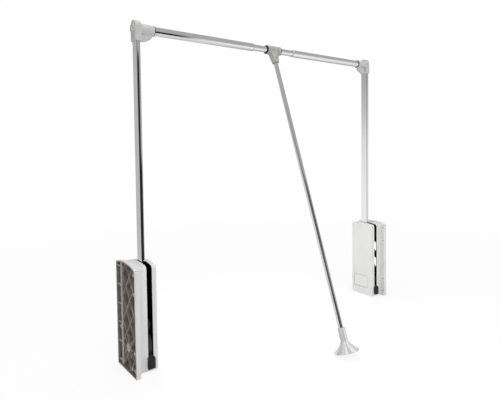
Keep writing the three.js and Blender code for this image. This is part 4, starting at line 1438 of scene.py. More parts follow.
@dataclass
class LeverSet:
    """The black lever on the pivot, its roller and the arm tube riveted to it."""

    near: float = 0.0373
    far: float = 0.0497
    radius: float = 0.034
    hub: float = 0.018
    edge: float = 0.0007
    stop_reach: float = 0.060
    stop_angle: float = math.radians(117)
    nose: float = 0.006
    horn_angle: float = math.radians(-45)
    horn: float = 0.0052
    roller: float = 0.006
    roller_width: float = 0.0076
    roller_gap: float = 0.0005
    roller_pin: float = 0.002
    shoulder: float = 0.128
    tongue: float = 0.040
    tongue_edge: float = 0.0008
    arm_half: float = 0.005
    arm_deep: float = 0.0125
    arm_wall: float = 0.0012
    arm_top: float = 0.835
    arm_edge: float = 0.0014
    arm_inner_edge: float = 0.0005
    drill_half: float = 0.010
    rivets: tuple[float, ...] = (0.138, 0.158)
    rivet_bore: float = 0.0028
    rivet_shank: float = 0.0025
    rivet_head: float = 0.0045
    rivet_height: float = 0.0009
    rivet_crown: float = 0.35
    screw_bore: float = 0.0033

    @property
    def horn_place(self) -> Point:
        """The roller's axis."""
        return self.from_pivot(self.radius, self.horn_angle)

    @staticmethod
    def from_pivot(reach: float, angle: float) -> Point:
        """A place at a distance and angle from the pivot, as y and z."""
        return PIVOT[0] + reach * math.cos(angle), PIVOT[1] + reach * math.sin(angle)

    def build(self) -> None:
        """Models the set and settles it on both sides."""
        Bench.both_sides(self.lever(), "lever", BLACK, angle=30)
        Bench.both_sides(self.arm(), "arm_tube", CHROME, angle=40)
        for count, z in enumerate(self.rivets):
            Bench.both_sides(self.rivet(z), f"lever_rivet_{count + 1}", STEEL)
        half = self.roller_width / 2
        place = self.horn_place
        start, end = ARM_PLANE - half, ARM_PLANE + half
        roller = Bench.pin(self.roller, start, end, SLIM_EDGE, place, FINE_ROUND, PIN_BORE)
        Bench.both_sides(roller, "cam_roller", NYLON)
        pin = Bench.pin(self.roller_pin, self.near, self.far, FINE_EDGE, place, FEW_ROUND)
        Bench.both_sides(pin, "roller_pin", STEEL)

    def lever(self) -> Piece:
        """The lever: a disc segment with a neck up to the arm and a horn for the roller.

        Returns:
            The lever.
        """
        y, z = PIVOT
        near, far = self.near, self.far
        segment = [(y, z), *arc(PIVOT, self.radius, self.stop_angle, TURN + self.horn_angle, HALF_ROUND)]
        nose = self.from_pivot(self.stop_reach, self.stop_angle)
        root = self.from_pivot(self.radius / 2, self.stop_angle)
        front, rear = -ARM_SETBACK - self.arm_deep, -ARM_SETBACK + self.arm_deep
        neck = [root, (rear, z), (rear, self.shoulder), (front, self.shoulder),
                (nose[0] + self.nose, nose[1] + self.nose), nose]
        disc, plate = (Bench.round(Bench.prism(line, near, far), level, self.edge, 3)
                       for line in (segment, neck))
        hub = Bench.rod(self.hub, near, far, Way.X, PIVOT, FINE_ROUND)
        horn = Bench.rod(self.horn, near, far, Way.X, self.horn_place, HALF_ROUND)
        slim = self.arm_half - self.arm_wall - SEAT_GAP
        deep = self.arm_deep - self.arm_wall - SEAT_GAP
        low = (ARM_PLANE - slim, -ARM_SETBACK - deep, self.shoulder - OVERRUN)
        high = (ARM_PLANE + slim, -ARM_SETBACK + deep, self.shoulder + self.tongue)
        tongue = Bench.block(low, high, self.tongue_edge)
        lever = Bench.work(disc, Cut.JOIN, [plate, hub, horn, tongue])
        room = self.roller_width / 2 + SEAT_GAP
        start, end = near - OVERRUN, far + OVERRUN
        tools = [Bench.rod(PIVOT_BORE, start, end, Way.X, PIVOT, HALF_ROUND)]
        tools.append(Bench.rod(
            self.roller + self.roller_gap, ARM_PLANE - room, ARM_PLANE + room, Way.X,
            self.horn_place, HALF_ROUND,
        ))
        tools.append(Bench.rod(PIN_BORE, start, end, Way.X, self.horn_place, FEW_ROUND))
        tools += [
            Bench.rod(self.rivet_bore, start, end, Way.X, (-ARM_SETBACK, z), FEW_ROUND)
            for z in self.rivets
        ]
        return Bench.work(lever, Cut.TAKE, tools)

    def arm(self) -> Piece:
        """The flat tube from the lever to the corner connector.

        Returns:
            The tube, drilled for the rivets and the connector's screw.
        """
        wall = self.arm_wall
        low = (ARM_PLANE - self.arm_half, -ARM_SETBACK - self.arm_deep, self.shoulder + SEAT_GAP)
        high = (ARM_PLANE + self.arm_half, -ARM_SETBACK + self.arm_deep, self.arm_top)
        arm = Bench.round(Bench.block(low, high), along(2), self.arm_edge, 6)
        inner_low = (low[0] + wall, low[1] + wall, low[2] - OVERRUN)
        inner_high = (high[0] - wall, high[1] - wall, high[2] + OVERRUN)
        bore = Bench.block(inner_low, inner_high)
        tools = [Bench.round(bore, along(2), self.arm_inner_edge, 3)]
        drills = [(self.rivet_bore, z) for z in self.rivets] + [(self.screw_bore, ROD_HEIGHT)]
        start, end = ARM_PLANE - self.drill_half, ARM_PLANE + self.drill_half
        tools += [Bench.rod(radius, start, end, Way.X, (-ARM_SETBACK, z), FEW_ROUND) for radius, z in drills]
        return Bench.work(arm, Cut.TAKE, tools)

    def rivet(self, z: float) -> Piece:
        """A rivet through the arm and the lever's tongue.

        Args:
            z: Its height.

        Returns:
            The rivet, with two domed heads.
        """
        near = ARM_PLANE - self.arm_half - SEAT_GAP
        far = ARM_PLANE + self.arm_half + SEAT_GAP
        dome = [(0.0, 1.0)]
        for degrees in range(75, -1, -15):
            turn = math.radians(degrees)
            wide = self.rivet_crown + (1 - self.rivet_crown) * math.cos(turn)
            dome.append((self.rivet_head * wide, math.sin(turn)))
        profile = [(wide, near - self.rivet_height * rise) for wide, rise in dome]
        profile += [(self.rivet_shank, near), (self.rivet_shank, far)]
        profile += [(wide, far + self.rivet_height * rise) for wide, rise in reversed(dome)]
        return Bench.turned(profile, Way.X, (-ARM_SETBACK, z), SMALL_ROUND)


@dataclass
class SpringColumn:
    """The plunger above the roller, its spring, the guide rod and the seat on the ledge."""

    setback: float = 0.0315
    radius: float = 0.0095
    stem: float = 0.0055
    guide: float = 0.003
    guide_head: float = 0.005
    guide_head_height: float = 0.0024
    foot: float = 0.005
    wire: float = 0.003
    wire_sides: int = 12
    curls: int = 14
    curl_steps: int = 28
    travel: float = 0.0496
    seat_top: float = 0.240
    seat_height: float = 0.010
    seat_edge: float = 0.0007
    seat_sink: float = 0.003
    chamfer: float = 0.001

    @property
    def centre(self) -> Point:
        """The column's axis as x and y."""
        return ARM_PLANE, -self.setback

    def build(self) -> None:
        """Models the column and settles it on both sides."""
        low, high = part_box("left_plunger")
        bottom, top, foot_top = low.z, high.z, low.z + self.foot
        bore, chamfer = self.guide + SEAT_GAP, self.chamfer
        plunger = Bench.turned([
            (0, bottom), (self.radius - chamfer, bottom), (self.radius, bottom + chamfer),
            (self.radius, foot_top - chamfer / 2), (self.radius - chamfer / 2, foot_top),
            (self.stem, foot_top), (self.stem, top - chamfer), (self.stem - chamfer, top),
            (bore, top), (bore, foot_top), (0, foot_top),
        ], Way.Z, self.centre, FINE_ROUND)
        Bench.both_sides(plunger, "plunger", BLACK)
        low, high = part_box("left_guide_rod")
        head, wide = high.z - self.guide_head_height, self.guide_head
        rod = Bench.turned([
            (0, low.z), (self.guide - chamfer / 2, low.z), (self.guide, low.z + chamfer / 2),
            (self.guide, head), (wide, head), (wide, high.z - EDGE), (wide - EDGE, high.z), (0, high.z),
        ], Way.Z, self.centre, HALF_ROUND)
        Bench.both_sides(rod, "guide_rod", STEEL)
        self.seat()
        for piece, side in zip(Bench.both_sides(self.spring(), "lift_spring", STEEL, angle=60), Side):
            low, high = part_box(f"{side.label}_lift_spring")
            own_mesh(piece)

    def seat(self) -> None:
        """Models the block that holds the spring's upper end and the guide rod's head."""
        x, y = self.centre
        half, bottom, top = self.radius, self.seat_top - self.seat_height, self.seat_top
        seat = Bench.block((x - half, y - half, bottom), (x + half, y + half, top), self.seat_edge)
        room = self.guide_head + SEAT_GAP
        Bench.work(seat, Cut.TAKE, [
            Bench.rod(self.guide + SEAT_GAP, bottom - OVERRUN, top + OVERRUN, Way.Z, self.centre, HALF_ROUND),
            Bench.rod(room, top - self.seat_sink, top + OVERRUN, Way.Z, self.centre, HALF_ROUND),
        ])
        Bench.both_sides(seat, "spring_seat", BLACK)

    def spring(self) -> Piece:
        """The wound spring: a ring of wire swept along a helix and closed at its ends.

        Returns:
            The spring.
        """
        low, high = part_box("left_lift_spring")
        wire = self.wire / 2
        Bench.clear()
        bpy.ops.mesh.primitive_circle_add(
            vertices=self.wire_sides, radius=wire, location=(self.radius - wire, 0, 0),
            rotation=(math.pi / 2, 0, 0),
        )
        coil = Bench.fix(bpy.context.object)
        steps = self.curl_steps * self.curls
        Bench.modify(
            coil, "SCREW", angle=TURN * self.curls, screw_offset=high.z - low.z - self.wire,
            steps=steps, render_steps=steps, use_smooth_shade=True,
        )
        Bench.edit(coil)
        bpy.ops.mesh.select_all(action="SELECT")
        bpy.ops.mesh.remove_doubles(threshold=DOUBLE)
        bpy.ops.mesh.select_all(action="DESELECT")
        bpy.ops.mesh.select_non_manifold()
        bpy.ops.mesh.edge_face_add()
        coil = Bench.done()
        coil.location = (*self.centre, low.z + wire)
        return Bench.outwards(Bench.fix(coil))


# Hanging rod


@dataclass
class RodCorner:
    """The corner connector with its screw, the thick tube, its bush and its end ring."""

    near: float = 0.035
    far: float = 0.052
    below: float = 0.030
    above: float = 0.020
    half_depth: float = 0.014
    edge: float = 0.0013
    grain: float = 0.0006
    boss: float = 0.011
    boss_height: float = 0.003
    boss_chamfer: float = 0.0007
    collar: float = 0.014
    collar_mouth: float = 0.013
    collar_chamfer: float = 0.0006
    collar_length: float = 0.036
    gusset_length: float = 0.033
    gusset_drop: float = 0.017
    gusset_half: float = 0.006
    gusset_top: float = 0.004
    gusset_edge: float = 0.0016
    gusset_steps: int = 24
    room_half: float = 0.0053
    room_deep: float = 0.0128
    room_top: float = 0.0073
    room_edge: float = 0.0012
    screw_bore: float = 0.0033
    screw_head: float = 0.0062
    screw_head_height: float = 0.002
    screw_crown: tuple[Point, ...] = ((0.0009, 0.0), (0.0002, 0.0004), (0.0, 0.0009))
    screw_shank: float = 0.003
    screw_tip: float = 0.0008
    screw_recess: Point = (0.0066, 0.0014)
    screw_recess_depth: float = 0.0011
    screw_turn: float = math.radians(20)
    tube: float = 0.011
    tube_wall: float = 0.0009
    tube_start: float = 0.060
    core: float = 0.009
    ring_lip: float = 0.002
    ring_sleeve: float = 0.014
    gap_half: float = 0.0763
    ring_wall: float = 0.0005
    lock_inset: float = 0.007
    lock_drill: float = 0.02
    lock: float = 0.002
    lock_proud: float = 0.0007
    lock_chamfer: float = 0.0004
    lock_socket: Point = (0.0011, 0.0008)

    @property
    def axis(self) -> Point:
        """The rod's axis as y and z."""
        return -ARM_SETBACK, ROD_HEIGHT

    def build(self) -> None:
        """Models the corner and settles it on both sides."""
        Bench.both_sides(self.connector(), "corner_connector", SATIN, angle=50)
        Bench.both_sides(self.screw(), "connector_screw", CHROME, angle=30)
        face, bore = self.far + self.collar_length + SEAT_GAP, self.tube + SEAT_GAP
        bush = Bench.turned([(bore, face), *bush_lip(face, bore)], Way.X, self.axis)
        Bench.both_sides(bush, "collar_bush", BLACK)
        start = self.tube_start + SEAT_GAP
        end = HALF_OPENING - self.gap_half - self.ring_lip - SEAT_GAP
        inner, outer = self.tube - self.tube_wall, self.tube
        tube = Bench.turned([
            (inner, start), (outer, start), (outer, end - FINE_EDGE), (outer - FINE_EDGE, end), (inner, end),
        ], Way.X, self.axis)
        place = (HALF_OPENING - self.gap_half - self.lock_inset, -ARM_SETBACK)
        for side in Side:
            piece = Bench.copy(tube)
            ring = self.end_ring()
            if side is Side.RIGHT:
                for drilled in (piece, ring):
                    drill = Bench.rod(PIN_BORE, ROD_HEIGHT, ROD_HEIGHT + self.lock_drill, Way.Z, place)
                    Bench.work(drilled, Cut.TAKE, [drill])
            Bench.on_side(piece, side, "outer_tube", CHROME, angle=40)
            Bench.on_side(ring, side, "tube_end_ring", SILVER_PAINTED_REFLECTIONS, angle=30)
        bpy.data.objects.remove(tube)
        bottom, top = ROD_HEIGHT + self.core + SEAT_GAP, ROD_HEIGHT + self.tube + self.lock_proud
        wide, chamfer = self.lock, self.lock_chamfer
        socket, deep = self.lock_socket
        lock = Bench.turned([
            (0, bottom), (wide, bottom), (wide, top - chamfer), (wide - chamfer, top), (socket, top),
            (socket, top - deep), (0, top - deep),
        ], Way.Z, place, FEW_ROUND)
        Bench.on_side(lock, Side.RIGHT, "lock_screw", BLACK)

    def connector(self) -> Piece:
        """The cast connector: arched arm socket, screw boss, rod collar and rounded gusset.

        Returns:
            The connector.
        """
        y, z = self.axis
        half = self.half_depth
        arch = [(y - half, z - self.below), (y + half, z - self.below)]
        arch += arc((y, z + self.above - half), half, 0, math.pi, FEW_ROUND)
        socket = Bench.round(Bench.prism(arch, self.near, self.far), level, self.edge)
        boss_near, boss_far, chamfer = self.near - self.boss_height, self.near + self.edge, self.boss_chamfer
        boss = Bench.turned([
            (0, boss_near), (self.boss - chamfer, boss_near), (self.boss, boss_near + chamfer),
            (self.boss, boss_far), (0, boss_far),
        ], Way.X, self.axis)
        start, end, mouth = self.far - self.edge, self.far + self.collar_length, self.collar_mouth
        collar = Bench.turned([
            (0, start), (self.collar, start), (mouth, end - self.collar_chamfer),
            (mouth - self.collar_chamfer, end), (0, end),
        ], Way.X, self.axis)
        body = Bench.work(socket, Cut.JOIN, [boss, collar, self.gusset(start)])
        Bench.cast(body, self.grain, 3)
        room = Bench.block(
            (ARM_PLANE - self.room_half, y - self.room_deep, z - self.below - OVERRUN),
            (ARM_PLANE + self.room_half, y + self.room_deep, z + self.room_top),
        )
        Bench.round(room, along(2), self.room_edge)
        tube_room = Bench.rod(self.tube + SEAT_GAP, self.tube_start, end + OVERRUN, Way.X, self.axis, ROUND)
        bore = Bench.rod(self.screw_bore, boss_near - OVERRUN, self.tube_start + OVERRUN, Way.X, self.axis)
        head, deep = self.screw_head + SEAT_GAP, boss_near + self.screw_head_height + SEAT_GAP
        sunk = Bench.turned([
            (0, boss_near - OVERRUN), (head + chamfer, boss_near - OVERRUN), (head + chamfer, boss_near),
            (head, boss_near + chamfer), (head, deep), (0, deep),
        ], Way.X, self.axis)
        return Bench.work(body, Cut.TAKE, [room, tube_room, bore, sunk])

    def gusset(self, start: float) -> Piece:
        """The rounded gusset between the arm socket and the collar.

        Args:
            start: Where it starts along the rod.

        Returns:
            The gusset, with its outline in x and z.
        """
        y, z = self.axis
        belly, top = z - self.collar_mouth, z - self.gusset_top
        outline = [(start, top), (start, belly - self.gusset_drop)]
        for step in range(1, self.gusset_steps + 1):
            angle = math.pi / 2 * step / self.gusset_steps
            across, down = self.gusset_length * math.sin(angle), self.gusset_drop * math.cos(angle)
            outline.append((start + across, belly - down))
        outline.append((start + self.gusset_length, top))
        slab = Bench.prism(outline, y - self.gusset_half, y + self.gusset_half)
        slab.matrix_world = Matrix(((0, 1, 0, 0), (1, 0, 0, 0), (0, 0, 1, 0), (0, 0, 0, 1)))
        Bench.outwards(Bench.fix(slab))
        return Bench.round(
            slab, lambda a, b: abs(a.y - b.y) < CLOSE and min(a.z, b.z) < belly, self.gusset_edge
        )

    def screw(self) -> Piece:
        """The bright screw in the boss, with a cross recess.

        Returns:
            The screw.
        """
        near = self.near - self.boss_height
        far, end = near + self.screw_head_height, self.tube_start - SEAT_GAP
        head, shank, tip = self.screw_head, self.screw_shank, self.screw_tip
        crown = [(head - inset, near + deep) for inset, deep in self.screw_crown]
        screw = Bench.turned([
            (0, near), *crown, (head, far), (shank, far), (shank, end - tip), (shank - tip, end), (0, end),
        ], Way.X, self.axis, FINE_ROUND)
        recess = Bench.cross(self.axis, near - OVERRUN, near + self.screw_recess_depth, *self.screw_recess)
        arms = [Bench.turn_about(arm, self.screw_turn, (0, *self.axis)) for arm in recess]
        return Bench.work(screw, Cut.TAKE, arms)

    def end_ring(self) -> Piece:
        """The sleeve in the thick tube's end, with the lip that closes it round the thin tube.

        Returns:
            The ring.
        """
        end = HALF_OPENING - self.gap_half
        lip = end - self.ring_lip
        start = lip - self.ring_sleeve
        bore, outer = self.core + SEAT_GAP, self.tube
        sleeve = bore + self.ring_wall
        return Bench.turned([
            (bore, start), (sleeve, start), (sleeve, lip), (outer, lip), (outer, end - EDGE),
            (outer - EDGE, end), (bore + FINE_EDGE, end), (bore, end - FINE_EDGE),
        ], Way.X, self.axis)


# Thin tube, tee and pull rod


@dataclass
class PullHandle:
    """The thin tube, the tee on it and the pull rod with its flared grip.

    The tee and what hangs from it are drawn about the rod's axis, with the pull rod straight down,
    and lean forward when they are settled.
    """

    core: float = 0.009
    core_wall: float = 0.0009
    core_half: float = 0.235
    tee_half: float = 0.025
    tee: float = 0.013
    tee_bore: float = 0.0113
    tee_grain: float = 0.0006
    bush_sleeve: float = 0.010
    funnel: float = 0.042
    funnel_wide: float = 0.0205
    funnel_deep: float = 0.0128
    funnel_mouth: float = 0.010
    mouth_bore: float = 0.0078
    mouth_depth: float = 0.004
    mouth_edge: float = 0.0004
    rod: float = 0.0065
    rod_wall: float = 0.001
    rod_sides: int = 72
    rod_top: float = -0.0163
    rod_room: float = -0.016
    pin: float = 0.002
    pin_height: float = 0.028
    pin_drill_half: float = 0.015
    plug_bore: float = 0.0023
    plug_length: float = 0.024
    bell: float = 0.032
    bell_steps: int = 28
    bell_sides: int = 128
    grip: float = 0.060
    neck: float = 0.0096
    neck_length: float = 0.030
    neck_chamfer: float = 0.0008
    socket_depth: float = 0.026
    socket_floor: float = 0.004
    lip: float = 0.0016
    rim_edge: float = 0.0006
    wall: float = 0.002
    screw_head: float = 0.004
    screw_head_height: float = 0.002
    screw_chamfer: float = 0.0012
    screw_shank: float = 0.002
    screw_length: float = 0.016
    screw_slot: Point = (0.0022, 0.0005)

    @property
    def length(self) -> float:
        """How far the grip's rim is from the rod's axis."""
        return (ROD_HEIGHT - self.bell * math.sin(LEAN)) / math.cos(LEAN)

    @property
    def socket_end(self) -> float:
        """The lower end of the pull rod, in the grip's socket."""
        return -(self.length - self.grip) - self.socket_depth

    def hang(
        self, piece: Piece, node: str, finish: Finish, angle: float = SMOOTH_ANGLE, lean: float = LEAN
    ) -> None:
        """Leans a piece forward, moves it to the rod's axis and settles it.

        Args:
            piece: The piece, drawn about the rod's axis.
            node: The CAD node that it replaces.
            finish: What it is made of.
            angle: The edge angle in degrees up to which shading is smooth.
            lean: How far it leans, in radians.
        """
        Bench.turn_about(piece, -lean, (0, 0, 0))
        piece.location = (0, DEPTH_SHIFT - ARM_SETBACK, ROD_HEIGHT)
        Bench.settle(piece, node, finish, angle)

    def build(self) -> None:
        """Models and settles all pieces of the middle."""
        inner, outer, half = self.core - self.core_wall, self.core, self.core_half
        tube = Bench.turned([(inner, -half), (outer, -half), (outer, half), (inner, half)])
        self.hang(tube, "inner_tube", CHROME, angle=40, lean=0.0)
        # The tee wears the darker satin, which is painted shade.
        self.hang(self.tee_body(), "tee_connector", TEE_SATIN_PAINTED_SHADE, angle=50)
        bush = self.tee_bush()
        other = Bench.mirror(Bench.copy(bush))
        self.hang(bush, "right_tee_bush", BLACK)
        self.hang(other, "left_tee_bush", BLACK)
        share = 1 - self.pin_height / self.funnel
        reach = self.funnel_mouth + (self.funnel_deep - self.funnel_mouth) * share - SEAT_GAP
        slim, step = self.pin - EDGE, reach - SLIM_EDGE
        pin = Bench.turned([
            (0, -reach), (slim, -reach), (self.pin, -step), (self.pin, step), (slim, reach), (0, reach),
        ], Way.Y, (0, -self.pin_height), FEW_ROUND)
        self.hang(pin, "tee_pin", STEEL)
        self.hang(self.pull_tube(), "pull_rod", CHROME, angle=40)
        start = self.socket_end
        end, bore, wide = start + self.plug_length, self.plug_bore, self.rod - self.rod_wall - SEAT_GAP
        plug = Bench.turned([
            (bore, start), (wide, start), (wide, end - SLIM_EDGE), (wide - SLIM_EDGE, end), (bore, end),
        ], Way.Z, (0, 0), FINE_ROUND)
        self.hang(plug, "rod_plug", BLACK)
        self.hang(self.bell_body(), "grip_bell", SILVER_PAINTED_REFLECTIONS, angle=40)
        self.hang(self.grip_screw(), "grip_screw", STEEL)

    def tee_body(self) -> Piece:
        """The tee: a sleeve that runs into a funnel, which narrows from an oval to a round mouth.

        Returns:
            The tee.
        """
        half, drop = self.tee_half, self.funnel
        sleeve = Bench.pin(self.tee, -half, half, EDGE, (0, 0), ROUND)
        funnel = Bench.rod(1.0, -drop, 0, Way.Z, (0, 0), ROUND)
        Bench.edit(funnel)
        for height, wide, deep in (
            (0.0, self.funnel_wide, self.funnel_deep), (-drop, self.funnel_mouth, self.funnel_mouth),
        ):
            bpy.ops.mesh.select_all(action="DESELECT")
            bpy.ops.object.mode_set(mode="OBJECT")
            for corner in funnel.data.vertices:
                corner.select = abs(corner.co.z - height) < CLOSE
            bpy.ops.object.mode_set(mode="EDIT")
            bpy.ops.transform.resize(value=(wide, deep, 1), center_override=(0, 0, height))
        body = Bench.work(sleeve, Cut.JOIN, [Bench.done()])
        Bench.cast(body, self.tee_grain, 4)
        start, end = -drop - OVERRUN, self.mouth_depth - drop
        bore, edge = self.mouth_bore, self.mouth_edge
        mouth = Bench.turned(
            [(0, start), (bore + edge, start), (bore, edge - drop), (bore, end), (0, end)], Way.Z
        )
        return Bench.work(body, Cut.TAKE, [
            Bench.rod(self.tee_bore, -half - OVERRUN, half + OVERRUN, Way.X, (0, 0), ROUND),
            Bench.rod(self.rod + SEAT_GAP, start, self.rod_room, Way.Z, (0, 0), FINE_ROUND),
            mouth, self.pin_drill(),
        ])

    def pin_drill(self) -> Piece:
        """The hole for the tee's pin, through the funnel and the pull rod."""
        half = self.pin_drill_half
        return Bench.rod(PIN_BORE, -half, half, Way.Y, (0, -self.pin_height), FEW_ROUND)

    def tee_bush(self) -> Piece:
        """The black bush in the right mouth of the tee's sleeve.

        Returns:
            The bush.
        """
        bore, sleeve = self.core + SEAT_GAP, self.tee_bore - SEAT_GAP
        face = self.tee_half + SEAT_GAP
        start = face - self.bush_sleeve
        return Bench.turned([(bore, start), (sleeve, start), (sleeve, face), *bush_lip(face, bore)])

    def pull_tube(self) -> Piece:
        """The pull rod, a round tube drilled for the tee's pin.

        Returns:
            The tube.
        """
        inner, outer, low, top = self.rod - self.rod_wall, self.rod, self.socket_end, self.rod_top
        corners = [(inner, low), (outer, low), (outer, top), (inner, top)]
        tube = Bench.turned(corners, Way.Z, (0, 0), self.rod_sides)
        return Bench.work(tube, Cut.TAKE, [self.pin_drill()])

    def bell_body(self) -> Piece:
        """The trumpet-shaped grip: a neck round the pull rod that flares to a thin rim.

        Returns:
            The grip.
        """
        top, rim = -(self.length - self.grip), -self.length
        start = top - self.neck_length
        outside: list[Point] = []
        for step in range(self.bell_steps + 1):
            share = step / self.bell_steps
            swell = (self.bell - self.neck) * share**2 * (3 - share) / 2
            outside.append((self.neck + swell, start + (rim + self.lip - start) * share))
        inside = [(radius - self.wall, height) for radius, height in reversed(outside)]
        socket, socket_end = self.rod + SEAT_GAP, top - self.socket_depth - SEAT_GAP
        cavity = socket_end - self.socket_floor
        return Bench.turned([
            (socket, top), (self.neck - self.neck_chamfer, top), (self.neck, top - self.neck_chamfer),
            *outside,
            (self.bell, rim + self.rim_edge), (self.bell - self.rim_edge, rim), (self.bell - self.wall, rim),
            *inside, (self.neck - self.wall, cavity), (PIN_BORE, cavity), (PIN_BORE, socket_end),
            (socket, socket_end),
        ], Way.Z, (0, 0), self.bell_sides)

    def grip_screw(self) -> Piece:
        """The screw that holds the grip to the plug in the pull rod.

        Returns:
            The screw.
        """
        top = self.socket_end - SEAT_GAP - self.socket_floor - SEAT_GAP
        start, end = top - self.screw_head_height, top + self.screw_length
        head, shank, chamfer = self.screw_head, self.screw_shank, self.screw_chamfer
        screw = Bench.turned([
            (0, start), (head - chamfer, start), (head, top - chamfer), (head, top),
            (shank, top), (shank, end - SLIM_EDGE), (shank - EDGE, end), (0, end),
        ], Way.Z, (0, 0), HALF_ROUND)
        slots = [
            Bench.block((-wide, -tall, start - OVERRUN), (wide, tall, top - STEP))
            for wide, tall in (self.screw_slot, reversed(self.screw_slot))
        ]
        return Bench.work(screw, Cut.TAKE, slots)


# Studio


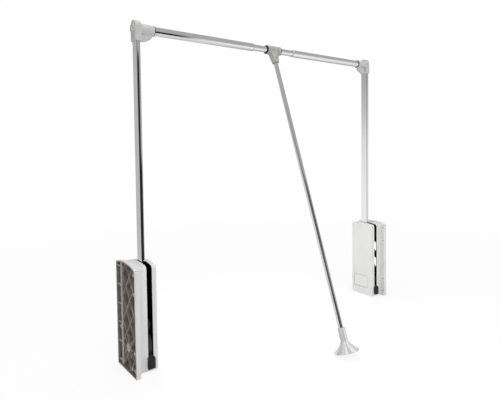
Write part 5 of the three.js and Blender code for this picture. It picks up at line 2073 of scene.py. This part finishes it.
@dataclass
class Studio:
    """A plain pale floor, soft light and the camera.

    A lamp has a name, a place, a target, a size and a power. The room is what bright metal reflects:
    each patch covers a range of directions along x, y and z with a grey level and a soft edge.
    """

    camera_place: Spot = (-0.8736, -0.9008, 0.5352)
    yaw: float = 0.648
    pitch: float = 0.039
    roll: float = -0.013
    focal: float = 445.1
    frame_width: float = 500.0
    sensor: float = 36.0
    shift: Point = (0.00194, -0.06812)
    floor_size: float = 60.0
    floor_drop: float = 0.0006
    floor_cloud: float = 3.0
    floor_greys: tuple[Colour, Colour] = ((0.88, 0.88, 0.88), (0.86, 0.86, 0.86))
    floor_seen: float = 0.86
    floor_fade: Point = (0.5, 2.5)
    sky: float = 0.60
    room_level: float = 0.76
    lamps: tuple[tuple[str, Spot, Spot, float, float], ...] = (
        ("front", (-0.3, -1.5, 2.0), (0.0, 0.05, 0.4), 1.4, 21.0),
        ("top", (-0.3, 0.3, 2.6), (0.1, 0.05, 0.2), 1.4, 19.0),
        ("side", (-0.35, 0.30, 0.30), (0.43, 0.05, 0.15), 0.35, 0.8),
        ("right", (0.05, -0.45, 0.35), (0.43, 0.05, 0.15), 0.35, 0.25),
    )
    room: tuple[tuple[Point, Point, Point, float, float], ...] = (
        ((-2, 2), (0.2, 2), (-2, -0.2), 0.62, 0.10),
        ((0.55, 2), (0.1, 2), (-2, -0.2), 0.46, 0.05),
        ((-2, -0.55), (0.3, 2), (-0.3, -0.02), 0.95, 0.08),
        ((0.70, 2), (-2, 0), (-0.3, -0.02), 0.95, 0.06),
        ((0.52, 0.72), (-0.75, -0.2), (-0.7, -0.25), 0.98, 0.04),
        ((-0.35, 0.64), (-2, 0.1), (-0.16, 0.2), 0.47, 0.05),
        ((-2, 2), (-2, 2), (0.08, 2), 0.44, 0.07),
        ((-2, 2), (0.8, 2), (-0.25, 0.2), 0.54, 0.05),
        ((-1.1, 0.15), (-2, -0.2), (-0.25, 0.2), 0.10, 0.05),
        ((-0.42, 0.34), (-2, 0), (0.31, 0.47), 0.02, 0.02),
        ((-0.42, 0.06), (-2, 0), (0.19, 0.33), 0.02, 0.02),
        ((0.10, 0.412), (-2, 0), (-0.6, 0.205), 0.02, 0.006),
        ((0.20, 0.483), (-2, 0), (-0.62, -0.02), 0.02, 0.015),
        ((-2, -0.6), (-2, -0.38), (-0.3, 0.5), 0.05, 0.04),
    )

    def build(self) -> None:
        """Sets up camera, floor, world and lamps."""
        self.camera()
        self.floor()
        self.world()
        for name, place, target, size, power in self.lamps:
            data = bpy.data.lights.new(name, "AREA")
            data.shape = "DISK"
            data.size = size
            data.energy = power
            lamp = self.link(name, data)
            lamp.visible_glossy = False
            lamp.visible_camera = False
            lamp.location = place
            aim = Vector(target) - Vector(place)
            lamp.rotation_euler = aim.to_track_quat("-Z", "Y").to_euler()
        bpy.context.scene.view_settings.view_transform = "Standard"

    @staticmethod
    def link(name: str, data: bpy.types.ID) -> bpy.types.Object:
        """Adds an object with this data to the scene.

        Args:
            name: The object's name.
            data: A lamp's or a camera's data.

        Returns:
            The object.
        """
        made = bpy.data.objects.new(name, data)
        bpy.context.scene.collection.objects.link(made)
        return made

    def camera(self) -> None:
        """Sets the camera up at the photograph's angle."""
        yaw, pitch, roll = self.yaw, self.pitch, self.roll
        look = Vector((math.sin(yaw) * math.cos(pitch), math.cos(yaw) * math.cos(pitch), -math.sin(pitch)))
        right = Vector((math.cos(yaw), -math.sin(yaw), 0))
        up = right.cross(look)
        across = math.cos(roll) * right + math.sin(roll) * up
        above = math.cos(roll) * up - math.sin(roll) * right
        data = bpy.data.cameras.new("camera")
        data.sensor_width = self.sensor
        data.lens = self.focal / self.frame_width * self.sensor
        data.shift_x, data.shift_y = self.shift
        camera = self.link("camera", data)
        turn = Matrix((across, above, -look)).transposed().to_4x4()
        camera.matrix_world = Matrix.Translation(Vector(self.camera_place)) @ turn
        bpy.context.scene.camera = camera

    def floor(self) -> None:
        """Lays a wide pale floor that keeps the object's soft shadow and looks white far away."""
        Bench.clear()
        bpy.ops.mesh.primitive_plane_add(size=self.floor_size, location=(0, 0, -self.floor_drop))
        floor = Bench.fix(bpy.context.object)
        floor.name = "floor"
        made = bpy.data.materials.new("pale_floor")
        shop = Shop(made)
        path = shop.node("ShaderNodeLightPath").outputs
        pale = shop.blend(shop.noise(self.floor_cloud), *self.floor_greys)
        matt = shop.node("ShaderNodeBsdfDiffuse", None, {"Color": pale})
        white = shop.node("ShaderNodeEmission", None, {"Color": (1, 1, 1, 1), "Strength": 1.0})
        through = shop.node("ShaderNodeBsdfTransparent")
        reach = shop.vector("LENGTH", {0: shop.place()}).outputs[1]
        far = shop.span(Value(shop, reach), *self.floor_fade)
        seen = Value(shop, path["Is Camera Ray"]) * (far * (1 - self.floor_seen) + self.floor_seen)
        both = shop.mix(seen, matt, white)
        whole = shop.mix(Value(shop, path["Is Glossy Ray"]), both, through)
        shop.node("ShaderNodeOutputMaterial", None, {"Surface": whole})
        floor.data.materials.append(made)
        floor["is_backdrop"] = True

    @staticmethod
    def between(shop: Shop, value: Value, ends: Point, soft: float) -> Value:
        """1 where a value lies between two ends, and 0 outside them.

        Args:
            shop: The world's nodes.
            value: The value.
            ends: Its lower and upper end.
            soft: How far the change reaches to each side of an end.

        Returns:
            The share.
        """
        low, high = ends
        return shop.span(value, low - soft, low + soft) * shop.span(value, high + soft, high - soft)

    def world(self) -> None:
        """Sets plain soft light all round, seen as white, with the room for bright metal to reflect."""
        made = bpy.data.worlds.new("studio")
        bpy.context.scene.world = made
        shop = Shop(made)
        path = shop.node("ShaderNodeLightPath").outputs
        place = shop.node("ShaderNodeTexCoord").outputs["Generated"]
        axes = shop.node("ShaderNodeSeparateXYZ", None, {0: place}).outputs
        grey = self.room_level
        tone = shop.node("ShaderNodeCombineColor", None, {0: grey, 1: grey, 2: grey}).outputs[0]
        for *ranges, grey, soft in self.room:
            first, second, third = (
                self.between(shop, Value(shop, axis), ends, soft) for axis, ends in zip(axes, ranges)
            )
            tone = shop.blend(first * second * third, tone, (grey, grey, grey))
        glossy, camera = Value(shop, path["Is Glossy Ray"]), Value(shop, path["Is Camera Ray"])
        plain, mirror, white = (
            shop.node("ShaderNodeBackground", None, {0: colour, 1: strength})
            for colour, strength in (((1, 1, 1, 1), self.sky), (tone, 1.0), ((1, 1, 1, 1), 1.0))
        )
        seen = shop.mix(camera, shop.mix(glossy, plain, mirror), white)
        shop.node("ShaderNodeOutputWorld", None, {0: seen})


def keep_sizes() -> None:
    """Works out the CAD's box and the visual model's box, in metres, as plain lists."""
    boxes = {"cad": CAD_BOX, "visual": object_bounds()}
    plain = {name: [[float(value) for value in corner] for corner in box] for name, box in boxes.items()}


def main() -> None:
    """Builds the studio and every sub-assembly, then works out the sizes."""
    logging.basicConfig(level=logging.INFO, format="%(name)s %(message)s")
    Studio().build()
    for side in Side:
        HousingBase().build(side)
    HousingCover().build()
    HousingFittings().build()
    LeverSet().build()
    SpringColumn().build()
    RodCorner().build()
    PullHandle().build()
    keep_sizes()


if __name__ == "__main__":
    main()
